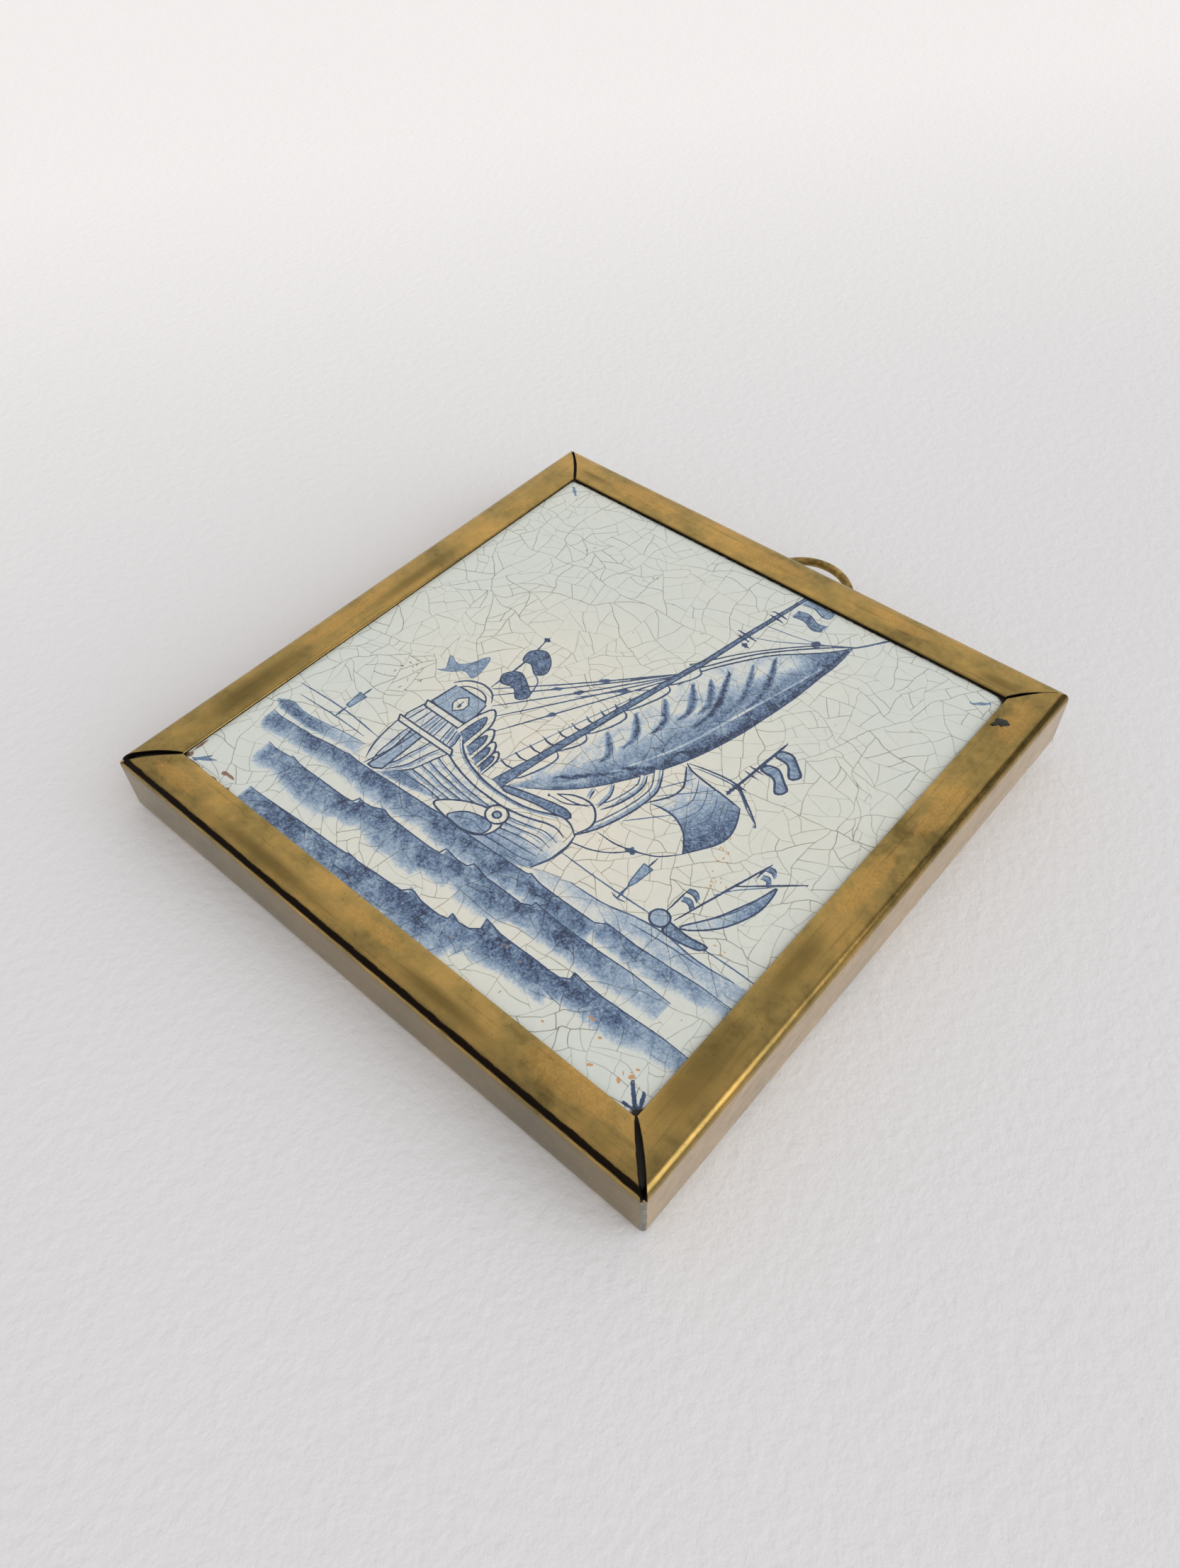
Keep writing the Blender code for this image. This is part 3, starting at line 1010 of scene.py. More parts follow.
def paint_stern(picture):
    paint_transom(picture)
    paint_counter(picture)
    # Panel under a low arch, with a lozenge as its ornament
    for points, tone, width in (
        ([(-30.0, -9.4), (-21.4, -9.2), (-20.6, -16.1), (-30.8, -16.1)], 0.34, 0.34),
        ([(-25.6, -10.4), (-23.4, -12.8), (-25.6, -15.2), (-27.8, -12.8)], 0.02, 0.26),
        ([(-25.6, -12.0), (-24.9, -12.8), (-25.6, -13.6), (-26.3, -12.8)], 0.5, 0.2),
    ):
        picture.shape(points, tone, width=width, smooth=False)
    arch = through([(-31.0, -9.4), (-28.8, -6.9), (-25.2, -5.9), (-22.2, -7.0), (-20.6, -9.6)])
    inner = through([(-29.4, -9.6), (-27.8, -8.2), (-25.2, -7.6), (-23.0, -8.2), (-21.6, -9.8)])
    picture.cover(band(arch, inner))
    for line, width in ((arch, 0.36), (inner, 0.28)):
        picture.line(line[::3], width=width)


def paint_shields(picture):
    """Domed boards along the rail, smaller towards the middle of the ship."""
    for u, v, breadth, height in (
        (-10.6, -22.4, 2.3, 5.2), (-12.8, -21.8, 2.7, 6.0), (-15.4, -20.8, 3.2, 7.2),
        (-18.8, -19.0, 4.0, 9.4),
    ):
        half = breadth / 2
        dome = [
            (u - half - 0.6, v + 0.8), (u - half, v + height * 0.62), (u - half * 0.2, v + height),
            (u + half, v + height * 0.66), (u + half * 1.15, v - 0.8),
        ]
        picture.cover(through(dome))
        core = [(u + (x - u) * 0.52, v + (y - v) * 0.74) for x, y in dome]
        picture.wash(through(core), lambda p: 0.62 + 0.25 * waver(p, 1.2, 4.0))
        picture.line(dome, width=0.34)
        picture.line(core, width=0.28)


def paint_small_ship(picture):
    hull = [(38.6, -26.4), (43.0, -26.6), (47.0, -26.2), (46.2, -27.6), (43.0, -28.4), (39.4, -28.6)]
    picture.shape(hull, 0.5, width=0.34)
    picture.shape(oval((37.2, -26.7), 1.9, 1.8, 8), 0.3, width=0.34)
    picture.line([(39.4, -25.4), (42.2, -16.0), (45.4, -5.2)], width=0.34)
    sail = [
        (41.0, -25.8), (44.4, -20.6), (47.6, -13.4), (49.0, -8.8), (49.4, -14.8), (46.6, -21.4),
        (42.4, -25.6),
    ]
    picture.shape(sail, lambda p: 0.16 + 0.36 * soft_step(p[:, 0], 45, 49), width=0.3)
    picture.line([(42.2, -24.0), (46.2, -17.8), (48.4, -11.2)], width=0.24, ink=0.7)
    picture.straight((42.8, -13.4), (52.4, -5.0), width=0.32)
    picture.line([(41.4, -17.0), (44.0, -13.4), (48.4, -9.0)], width=0.22, ink=0.6)
    for top, foot, reach in (((45.2, -6.0), (44.9, -9.2), 2.2), ((37.4, -18.6), (37.2, -24.6), 2.6)):
        picture.straight(top, foot, width=0.3)
        u, v = top
        flight = [(u, v), (u + reach * 0.5, v + 0.3), (u + reach, v - 0.6)]
        paint_flag(picture, flight, 3.0, (0.62, 0.0, 0.62))


def paint_beacons(picture):
    for u, top, foot in ((-42.8, -23.6, -31.2), (28.8, -19.6, -28.2)):
        picture.straight((u + 0.1, top + 2.2), (u, top), width=0.34)
        cask = [(u - 1.0, top), (u + 1.0, top), (u + 0.4, foot + 2.8), (u - 0.4, foot + 2.8)]
        picture.shape(cask, 0.4, width=0.26, ink=0.7, smooth=False)
        picture.straight((u, foot + 2.8), (u + 0.1, foot), width=0.5, ink=0.8)
        picture.line([(u - 1.4, foot + 0.2), (u, foot - 0.2), (u + 1.6, foot + 0.1)], width=0.26, ink=0.7)


def crest_line(start, tips, end):
    """A wave's upper edge. Each tip is its place, the level before it and its height, and curls back left."""
    points = [start]
    for u, low, high in tips:
        last_u, last_v = points[-1]
        room = u - last_u
        if room > 3:
            points += [
                (last_u + room * 0.12 + 0.5, last_v - 0.35 * (last_v - low) - 0.35),
                (last_u + room * 0.5, last_v * 0.3 + low * 0.7 - 0.12), (u - 0.8, low + 0.1),
            ]
        rise = high - low
        points += [(u + 0.75, low + 0.35 * rise), (u + 0.5, low + 0.75 * rise)]
        points += [(u, high), (u + 1.3, high - 0.35)]
    last = np.array(points[-1])
    way = np.array(end) - last
    points += [last + way * share - (0, 0.3 * math.sin(share * 6)) for share in (0.25, 0.5, 0.75, 1.0)]
    return np.array(points)


WAVES = (   # start, tips, end, depth at the left, middle and right, tone
    (
        (-53.6, -38.0),
        ((-45.3, -38.0, -37.4), (-33.6, -36.6, -36.0), (-9.4, -35.4, -34.7), (13.2, -34.9, -34.0),
         (30.0, -34.9, -33.1)),
        (57.4, -33.0), (4.8, 7.2, 3.4), 0.62,
    ),
    (
        (-47.4, -44.2),
        ((-41.6, -44.3, -43.4), (-23.1, -44.1, -42.1), (-18.4, -42.3, -40.8), (-2.0, -41.9, -39.8),
         (4.3, -40.6, -39.0), (17.9, -40.1, -38.0)),
        (49.0, -38.6), (6.4, 8.4, 4.8), 0.60,
    ),
    (
        (-41.2, -53.8),
        ((-15.4, -52.8, -51.9), (-0.7, -51.8, -49.9), (8.8, -51.1, -49.1), (14.4, -49.6, -46.0),
         (32.8, -46.8, -44.2)),
        (57.4, -44.4), (6.4, 9.4, 4.4), 0.64,
    ),
)


def paint_wave(picture, start, tips, end, depths, tone):
    """Pigment that is crisp along the crest and fades below it, in slanting strokes."""
    crest = crest_line(start, tips, end)
    order = np.argsort(crest[:, 0])
    at, level = crest[order, 0], crest[order, 1]
    knots = (at[0], (at[0] + at[-1]) / 2, at[-1])

    def fade(points):
        below = np.interp(points[:, 0], at, level) - points[:, 1]
        reach = np.interp(points[:, 0], knots, depths) * (1 + 0.22 * waver(points * (1, 0.3), 9.0, tone * 7))
        slant = np.stack([points[:, 0] + points[:, 1] * 0.9, (points[:, 1] - points[:, 0]) * 0.3], 1)
        stroke = 1 + 0.5 * waver(slant, 1.2, tone + 5) + 0.4 * waver(points, 3.4, tone + 2)
        ends = soft_step(points[:, 0], at[0] - 0.8, at[0] + 1.6)
        ends = 0.12 + 0.88 * ends * (1 - 0.55 * soft_step(points[:, 0], at[-1] - 22, at[-1]))
        return np.clip(tone * stroke, 0, 0.8) * (1 - soft_step(below, reach * 0.3, reach)) ** 0.8 * ends

    foot = np.stack([at, level - np.interp(at, knots, depths) * 1.3], 1)
    foot[0, 1] = level[0] - depths[0] * 0.5
    picture.wash(np.vstack([crest, foot[::-1]]), fade, edge=0.16)
    picture.line(crest, width=0.26, ink=0.88, smooth=False)


def paint_sea(picture):
    for points, width in (
        ([(-55.2, -29.5), (-43.0, -28.9), (-31.8, -29.5)], 0.28),
        ([(-52.8, -31.8), (-42.6, -31.2), (-34.4, -31.2)], 0.24),
        ([(14.6, -27.2), (24.0, -27.4), (36.0, -27.1)], 0.26),
        ([(46.8, -26.9), (52.0, -26.7), (57.2, -26.8)], 0.26),
        ([(34.2, -30.8), (41.0, -30.2), (48.4, -29.9)], 0.26),
    ):
        picture.line(points, width=width, ink=0.7)

    def far_tone(points):
        body = 0.24 * (1 - 0.5 * soft_step(-points[:, 1], 30.5, 34))
        return body + 0.12 * waver(points * (0.5, 1), 2.2, 2.0)

    def near_tone(points):
        return 0.22 + 0.42 * (1 - soft_step(points[:, 0], -46, -38)) + 0.15 * waver(points, 2.2, 3.0)

    far = through([
        (13.4, -33.0), (18.4, -31.4), (23.0, -31.0), (29.0, -30.6), (33.0, -29.4), (40.0, -28.7),
        (47.0, -29.4), (57.3, -28.5),
    ])
    picture.wash(np.vstack([far, [(57.3, -33.4), (30.0, -34.6), (13.0, -34.4)]]), far_tone)
    picture.line(far[9::4], width=0.28, ink=0.78)
    near = through([
        (-55.4, -35.6), (-52.4, -34.1), (-48.0, -34.6), (-43.6, -34.0), (-38.0, -33.0), (-32.4, -32.4),
    ])
    near_foot = [(-31.0, -35.4), (-38.0, -36.0), (-45.0, -36.9), (-53.0, -36.8)]
    picture.wash(np.vstack([near, near_foot]), near_tone, edge=0.5)
    picture.line(near[::4], width=0.22, ink=0.55)
    for wave in WAVES:
        paint_wave(picture, *wave)


def paint_corners(picture):
    """Short strokes that point to the middle, as the remains of a corner motif."""
    for u, v, dark in ((-56.2, 55.6, 0.5), (55.4, 54.6, 0.5)):
        picture.straight((u, v), (u + math.copysign(2.8, -u), v - 2.3), width=0.8, ink=dark)
    for start, end in (((-55.6, -56.6), (-51.6, -54.0)), ((-55.0, -56.8), (-53.2, -53.8))):
        picture.line([start, end], width=0.6, ink=0.6, smooth=False)
    for start, end, width in (
        ((56.2, -56.2), (53.0, -53.0), 0.55), ((56.7, -55.6), (55.7, -53.4), 0.6),
        ((55.8, -56.6), (54.1, -56.5), 0.5),
    ):
        picture.straight(start, end, width=width, ink=0.88, ends=0.9)


def paint_ship_scene():
    picture = Painting()
    for paint in (
        paint_sail, paint_foresail, paint_bow, paint_mast, paint_stays, paint_flags, paint_hull, paint_stern,
        paint_shields, paint_beacons, paint_sea, paint_small_ship, paint_corners,
    ):
        paint(picture)
    return picture


# The glaze's cracks

CRACK_AREAS = (9.0, 27.0)   # square millimetres in the smallest and the largest cell
CRACK_STEP = 1.1
CRACK_HALF_WIDTH = 0.085


def halved(cell, generator):
    """A convex cell cut in two across its long side, and the cut."""
    middle = cell.mean(0)
    spread = cell - middle
    _, _, axes = np.linalg.svd(spread, full_matrices=False)
    angle = math.atan2(axes[0, 1], axes[0, 0]) + math.pi / 2 + generator.uniform(-0.3, 0.3)
    reach = np.abs(spread @ axes[0]).max()
    start = middle + axes[0] * generator.uniform(-0.3, 0.3) * reach
    across = np.array((-math.sin(angle), math.cos(angle)))
    side = (cell - start) @ across
    halves, cut = ([], []), []
    for k in range(len(cell)):
        j = (k + 1) % len(cell)
        halves[int(side[k] > 0)].append(cell[k])
        if (side[k] > 0) != (side[j] > 0):
            place = cell[k] + (cell[j] - cell[k]) * side[k] / (side[k] - side[j])
            cut.append(place)
            halves[0].append(place)
            halves[1].append(place)
    return [np.array(half) for half in halves], np.array(cut)


def cell_area(cell):
    x, y = cell[:, 0], cell[:, 1]
    return abs((x * np.roll(y, -1) - y * np.roll(x, -1)).sum()) / 2


def bent(line):
    """A straight crack bent by smooth noise, which is the same wherever cracks meet."""
    shifts = [
        reach * np.stack([waver(line, size, 21.0 + size), waver(line, size, 35.0 + size)], 1)
        for size, reach in ((13.0, 3.2), (5.5, 1.1), (2.2, 0.4))
    ]
    return line + sum(shifts)


def crack_network():
    """Cracks as (line, strength). Each new one ends on older ones."""
    generator = np.random.default_rng(7)
    half = TILE_HALF + 4
    waiting = [(np.array([(-half, -half), (half, -half), (half, half), (-half, half)]), 0)]
    cracks = []
    while waiting:
        cell, age = waiting.pop()
        if len(cell) < 3 or cell_area(cell) < generator.uniform(*CRACK_AREAS):
            continue
        halves, cut = halved(cell, generator)
        length = np.linalg.norm(cut[1] - cut[0])
        line = bent(resampled(cut, max(2, int(length / CRACK_STEP) + 1)))
        line = line[np.abs(line).max(1) < TILE_HALF - 2]
        if len(line) > 1:
            cracks.append((line, generator.uniform(0.5, 0.85) if age < 5 else generator.uniform(0.35, 0.75)))
        waiting += [(part, age + 1) for part in halves]
    return cracks


def crack_level(points, cracks):
    """How near each point is to the middle of a crack, times that crack's strength."""
    level = np.zeros(len(points))
    reach = 2 * CRACK_HALF_WIDTH
    for line, strength in cracks:
        near = within(points, line, reach)
        if len(near):
            gap, _ = nearest(points[near], line, np.zeros(len(line)))
            level[near] = np.maximum(level[near], strength * np.clip(1 - gap / reach, 0, 1))
    return level


# The tile

FACE_ROUNDING = 1.2      # of the tile's edges
RIM_RADIUS = 0.5         # of the face's corners inside that rounding
RIM_STEP = 2.0
FACE_GRID = 1.6
LINE_SLACK = 0.04        # how far a line that the triangles follow may pass from its points
LINE_REACH = 3.5         # and how long its straight parts may be
BACK_GRID = 2.7
RUST_FLECKS = (          # u, v, length, breadth, turn
    (-46.2, -54.8, 2.4, 0.5, 0.0), (-47.6, -55.0, 1.0, 0.8, 0.4), (41.0, -48.8, 1.3, 0.3, 0.0),
    (44.2, -50.6, 0.6, 0.4, 0.5), (52.4, -52.5, 0.85, 0.6, 0.8), (51.2, -54.2, 0.95, 0.45, 2.2),
    (52.4, -50.9, 0.6, 0.35, 0.6), (46.0, -55.2, 0.8, 0.4, 0.6), (35.2, -54.4, 0.5, 0.3, 0.0),
    (-57.2, -53.4, 0.5, 2.4, 0.0), (-56.9, -56.2, 0.9, 1.0, 0.0), (-54.0, -57.2, 2.6, 0.45, 0.0),
    (-48.2, -57.1, 1.1, 0.35, 0.0), (-44.0, -57.0, 0.7, 0.3, 0.0),
)
RUST_CLUSTERS = (        # u, v, how far it spreads, how many specks
    (-41.5, -12.0, 3.4, 12), (-38.6, -16.0, 2.6, 7), (40.0, -14.8, 2.6, 12), (37.4, -8.6, 3.4, 9),
    (49.0, -25.4, 1.6, 4), (-38.0, 42.0, 2.0, 4), (52.6, -52.6, 2.2, 5), (20.0, -50.0, 8.0, 5),
    (-14.0, 40.0, 16.0, 8), (30.0, 30.0, 18.0, 8),
)
RELIEF = 0.06            # how wavy the glaze is
BACK_RELIEF = 0.35       # how wavy the back is
CLAY_ROUGHNESS = 0.12    # of the unglazed sides
LIP_GAPS = (-0.35, -0.25, 0.0, 0.3, 0.7)     # of the steps of the painted lip shade and dirt from the frame's lip


def turned(u, v, quarters):
    """A place moved round the middle by quarter turns, anticlockwise."""
    for _ in range(quarters):
        u, v = -v, u
    return u, v


def rounded_square(half, radius, step, corner_steps=3):
    """Points round a square with round corners, anticlockwise, and the way out at each."""
    points, normals = [], []
    per_side = max(2, int(2 * (half - radius) / step))
    flat = half - radius
    local = [(-flat + 2 * flat * i / per_side, -half, -math.pi / 2) for i in range(per_side + 1)]
    for i in range(1, corner_steps):
        angle = -math.pi / 2 + math.pi / 2 * i / corner_steps
        local.append((flat + radius * math.cos(angle), -half + radius + radius * math.sin(angle), angle))
    for k in range(4):
        turn = k * math.pi / 2
        for u, v, angle in local:
            points.append(turned(u, v, k))
            normals.append((math.cos(angle + turn), math.sin(angle + turn)))
    return np.array(points), np.array(normals)


def grid_points(low, high, step):
    """Places about step apart in a box, in rows that are shifted in turn."""
    points = []
    rows = int((high[1] - low[1]) / (step * 0.87))
    columns = int((high[0] - low[0]) / step)
    for r in range(rows + 1):
        v = low[1] + (high[1] - low[1]) * r / rows
        for c in range(columns + 1):
            u = low[0] + (high[0] - low[0]) * (c + (0.25 if r % 2 else -0.25)) / columns
            if low[0] <= u <= high[0]:
                points.append((u, v))
    return points


def tile_rim():
    """Points round the flat part of the tile's face, and the way out at each."""
    return rounded_square(TILE_HALF - FACE_ROUNDING, RIM_RADIUS, RIM_STEP)


def triangulated(boundary, grid_step, extra=()):
    """Points and triangles that fill a convex boundary, with extra lines that triangle edges follow."""
    low, high = boundary.min(0), boundary.max(0)
    margin = grid_step * 0.7
    points = [tuple(p) for p in boundary] + grid_points(low + margin, high - margin, grid_step)
    edges = [(k, (k + 1) % len(boundary)) for k in range(len(boundary))]
    for line in extra:
        kept = np.clip(line, low + 0.2, high - 0.2)
        first = len(points)
        points.extend(map(tuple, kept))
        edges.extend((first + k, first + k + 1) for k in range(len(kept) - 1))
    verts, _, faces, *_ = delaunay_2d_cdt([Vector(p) for p in points], edges, [], 0, 1e-4)
    return np.array([tuple(v) for v in verts]), [f for f in faces if len(f) == 3]


def tile_relief(points, half, height, seed):
    """Low waves that die out towards the tile's edge."""
    inward = soft_step(half - np.abs(points).max(1), 5.0, 12.0)
    return height * inward * (0.7 * waver(points, 31.0, seed) + 0.3 * waver(points, 9.0, seed + 3))


def all_flecks():
    """The named flecks, and small specks and scratches about the clusters' middles."""
    generator = np.random.default_rng(11)
    flecks = list(RUST_FLECKS)
    for u, v, spread, count in RUST_CLUSTERS:
        for _ in range(count):
            du, dv = generator.normal(0, spread / 2, 2)
            length = generator.uniform(0.2, 0.8)
            breadth = generator.uniform(0.14, 0.24)
            flecks.append((u + du, v + dv, length, breadth, generator.uniform(0, math.pi)))
    return flecks


def fleck_mask(points, flecks):
    mask = np.zeros(len(points))
    for u, v, length, breadth, turn in flecks:
        across = points - (u, v)
        along = across @ (math.cos(turn), math.sin(turn))
        aside = across @ (-math.sin(turn), math.cos(turn))
        mask = np.maximum(mask, 1 - np.hypot(along / length, aside / breadth))
    return np.clip(mask, 0, 1)


def lip_loops():
    """Squares along the frame's lip, where the painted lip shade and the dirt end."""
    loops = []
    for gap in LIP_GAPS:
        reach = HALF - FRONT_FLANGE - gap
        corners = np.array([turned(-reach, -reach, k) for k in (0, 1, 2, 3, 0)])
        loops.append(np.vstack([resampled(corners[k:k + 2], 60)[:-1] for k in range(4)] + [corners[:1]]))
    return loops


def fleck_outlines(flecks):
    """Two small loops in each fleck."""
    outlines = []
    angles = np.arange(9) * math.pi / 4
    for u, v, length, breadth, turn in flecks:
        for size in (0.45, 1.0):
            a, b = length * size * np.cos(angles), breadth * size * np.sin(angles)
            across = u + a * math.cos(turn) - b * math.sin(turn)
            upward = v + a * math.sin(turn) + b * math.cos(turn)
            outlines.append(np.stack([across, upward], 1))
    return outlines


def face_lines(picture, flecks, cracks):
    """The lines that the edges of the face's triangles follow."""
    lines = list(picture.constraints()) + fleck_outlines(flecks) + lip_loops()
    for line, _ in cracks:
        lines += [line, beside(line, 2 * CRACK_HALF_WIDTH), beside(line, -2 * CRACK_HALF_WIDTH)]
    return [thinned(np.asarray(line), LINE_SLACK, LINE_REACH) for line in lines]


def side_rows():
    """Rows round the tile behind its face: how far out of the face's rim, how deep, and how bare of glaze."""
    round_off, height = FACE_ROUNDING, TILE_BACK - TILE_FRONT
    rows = [(round_off * math.sin(a), round_off * (1 - math.cos(a)), 0.0) for a in np.radians((30, 60, 90))]
    rows += [(round_off, height * share, 1.0) for share in (0.22, 0.4, 0.6, 0.8)]
    for a in np.radians((0, 30, 60)):
        rows.append((round_off * math.cos(a), height - round_off * (1 - math.sin(a)), 1.0))
    return rows


def side_places(rim, out, reach, deep, bare):
    """One row round the tile's side. Bare clay is rough."""
    for p, n in zip(rim, out):
        rough = CLAY_ROUGHNESS * noise.noise(Vector((p[0] / 4, p[1] / 4, deep / 3))) if bare else 0.0
        u, v = p + n * (reach + rough - CLAY_ROUGHNESS * bare)
        yield on_face(u, v, TILE_FRONT + deep)


def back_relief(back, half_face):
    """How deep the clay of the back lies at each point."""
    rough = tile_relief(back, half_face, BACK_RELIEF, 7.0) + 0.08 * waver(back, 3.0, 8.0)
    return TILE_BACK - 0.15 + 0.4 * rough * soft_step(half_face - np.abs(back).max(1), 0.0, 3.0)


def tile_form(face, face_triangles):
    """The tile's places, faces and bareness of glaze: first the face's points, then the side and the back."""
    half_face = TILE_HALF - FACE_ROUNDING
    rim, out = tile_rim()
    back, back_triangles = triangulated(rim, BACK_GRID)
    count = len(rim)
    depths = TILE_FRONT - tile_relief(face, half_face, RELIEF, 1.0)
    places = [on_face(u, v, y) for (u, v), y in zip(face, depths)]
    faces = [tuple(f) for f in face_triangles]
    clay = [0.0] * len(face)
    starts = [0]
    for reach, deep, bare in side_rows():
        starts.append(len(places))
        places += side_places(rim, out, reach, deep, bare)
        clay += [bare] * count
    first = len(places)
    starts.append(first)
    places += [on_face(u, v, y) for (u, v), y in zip(back, back_relief(back, half_face))]
    clay += [1.0] * len(back)
    faces += [tuple(first + i for i in reversed(f)) for f in back_triangles]
    for near, far in zip(starts[:-1], starts[1:]):
        for k in range(count):
            j = (k + 1) % count
            faces.append((near + k, far + k, far + j, near + j))
    return places, faces, np.array(clay)


def lip_grime_and_shade(flat):
    """Painted shade along the frame's lip, stronger on the sides where the lip casts its shadow, full under
    the flange as shade, and dirt under the mitres.
    """
    lip = HALF - FRONT_FLANGE
    u, v = flat.T
    from_lip = lip - np.abs(flat).max(1)
    from_corner = np.hypot(*(lip - np.abs(flat)).T)
    # painted lip shadow, stronger on the right and top sides
    shaded = np.where((u > np.abs(v)) | (v > np.abs(u)), 0.7, 0.12)
    corner = np.where(v < 0, np.where(u > 0, 0, 3), np.where(u > 0, 1, 2))
    along = shaded * np.exp(-np.clip(from_lip, 0, None) / 0.28)
    grime_and_shade = along + np.array(CORNER_GRIME)[corner] * np.exp(-(from_corner / 1.6) ** 2)
    # under the flange the glaze is painted fully dark as shade
    return np.where(from_lip < -0.3, 1.0, grime_and_shade)


def make_tile(look):
    picture = paint_ship_scene()
    rust = all_flecks()
    cracks = crack_network()
    face, face_triangles = triangulated(tile_rim()[0], FACE_GRID, face_lines(picture, rust, cracks))
    places, faces, clay = tile_form(face, face_triangles)

    mesh = mesh_of("ceramic_tile_dressed", places, faces)
    bm = bmesh.new()
    bm.from_mesh(mesh)
    bmesh.ops.recalc_face_normals(bm, faces=bm.faces)
    bm.to_mesh(mesh)
    bm.free()

    edge, ink, wash = picture.pigment(face)
    for name, values, fill in (
        ("edge", edge, 0.0), ("ink", ink, picture.PLAIN_INK), ("wash", wash, 0.0),
        ("rust", fleck_mask(face, rust), 0.0), ("crack", crack_level(face, cracks), 0.0),
    ):
        set_floats(mesh, name, np.concatenate([values, np.full(len(places) - len(face), fill)]))
    flat = np.array(places)[:, (0, 2)] - (CENTRE_X, CENTRE_Z)
    set_floats(mesh, "clay", clay)
    # painted lip shade and dirt, kept off the bare clay
    set_floats(mesh, "grime_and_shade", np.clip(lip_grime_and_shade(flat) * (1 - clay), 0, 1))
    set_floats(mesh, "warmth", np.exp(-(np.hypot(flat[:, 0] - 4, flat[:, 1] + 16) / 42) ** 2))
    piece = make_piece("glazed_tile", mesh, look, "plaque")
    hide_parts("ceramic_tile")
    return piece


# The frame

# Each mitre by its corner, anticlockwise from the picture's bottom right: how wide the cut is at the outer
# tip and at the lip, how much wider between, how far it bows to one side, and whether it cuts the folds
MITRES = (
    {"tip": 0.85, "lip": 0.3, "belly": 0.45, "bow": 0.10, "open": True},
    {"tip": 0.0, "lip": 0.5, "belly": 0.0, "bow": 0.85, "open": False},
    {"tip": 0.42, "lip": 0.45, "belly": 0.0, "bow": -0.70, "open": True},
    {"tip": 1.5, "lip": 0.3, "belly": 0.35, "bow": -0.45, "open": True},
)
CORNER_GRIME = (1.6, 1.0, 0.5, 0.7)      # on the glaze under each mitre, in the same order
# For the bottom, right, top and left sides: dirt and painted shade at the front lip, more on the shaded
# sides, and how much the outer wall is painted pale as a reflection and dark as shade
LIP_GRIME_AND_SHADE = (0.25, 0.5, 0.6, 0.1)
WALL_PAINTED_REFLECTION = (0.1, 1.0, 0.7, 0.6)
WALL_PAINTED_SHADE = (0.9, 0.0, 0.2, 0.3)
GOLD_PATCHES = (         # u, v, reach along, reach across
    (46.0, -60.0, 12.0, 3.4), (-53.0, -62.0, 8.0, 2.2), (-40.0, 62.0, 12.0, 3.0), (-4.0, 61.4, 14.0, 2.8),
    (30.0, 62.4, 10.0, 2.0), (60.6, 2.0, 2.4, 12.0),
    (62.0, 52.0, 3.0, 8.0), (62.0, 24.0, 2.6, 10.0), (-62.6, -10.0, 1.8, 16.0), (2.0, -60.4, 9.0, 1.8),
)
# olive patches: tarnish in part, and in part painted dark reflection on the flange
OLIVE_AND_REFLECTION_PATCHES = (
    (-54.0, 60.6, 5.0, 1.0), (60.0, -46.0, 4.2, 11.0), (60.6, -20.0, 2.4, 9.0),
    (20.0, -62.6, 12.0, 1.5), (-60.4, 8.0, 1.8, 14.0), (-24.0, -63.0, 16.0, 1.6), (54.0, 60.0, 5.0, 1.4),
    (-61.0, -36.0, 3.0, 16.0),
)
LIP_DROP = 0.2           # the flange's lip is pressed down towards the glaze
ROLL_DROP = 0.2          # and its outer part rolls gently into the fold
FOLD_REFLECTION_LINE = 8.5          # where a painted dark reflection follows the bottom fold, from the lip along the sheet
FOLD_REFLECTION_REACH = 0.75
EDGE_GRIME_REACH = 0.38
FAR = 9.0                # stands for an edge that is too far off to be dirty
SIDE_RUN = 140           # from one side's start to the next one's, along the strip


def frame_rows():
    """The section's outer side from the front lip to the back one.

    Each row is the distance in, the depth, the way out, and the run along the sheet from the lip.
    """
    rows = [(FRONT_FLANGE, LIP_DROP + 0.14, (0.55, -0.83)), (FRONT_FLANGE - 0.16, LIP_DROP, (0.2, -0.98))]
    for d in (8.6, 7.8, 6.8, 5.8, 4.8, 4.2, 3.6, 3.1, 2.7, 2.35):
        drop = LIP_DROP * ((d - 5) / 4) ** 2 if d > 5 else ROLL_DROP * ((5 - d) / 3) ** 2
        rows.append((d, drop, (0, -1)))
    for k in range(FOLD_STEPS + 1):
        a = math.radians(90 * k / FOLD_STEPS)
        depth = FOLD_RADIUS * (1 - math.cos(a)) + ROLL_DROP * math.cos(a)
        rows.append((FOLD_RADIUS * (1 - math.sin(a)), depth, (-math.sin(a), -math.cos(a))))
    flat = DEPTH - 2 * FOLD_RADIUS
    rows += [(0.0, FOLD_RADIUS + flat * k / 6, (-1, 0)) for k in range(1, 6)]
    for k in range(FOLD_STEPS + 1):
        a = math.radians(90 * k / FOLD_STEPS)
        depth = DEPTH - FOLD_RADIUS * (1 - math.sin(a))
        rows.append((FOLD_RADIUS * (1 - math.cos(a)), depth, (-math.cos(a), math.sin(a))))
    rows += [(d, DEPTH, (0, 1)) for d in (3.6, 5.4, 7.2, 9.2, BACK_FLANGE)]
    out, run = [], 0.0
    for k, (d, depth, way) in enumerate(rows):
        if k:
            run += math.hypot(d - rows[k - 1][0], depth - rows[k - 1][1])
        out.append((d, depth, way, run))
    return out


def corner_radius(d):
    return max(CORNER_RADIUS - d, LEAST_RADIUS)


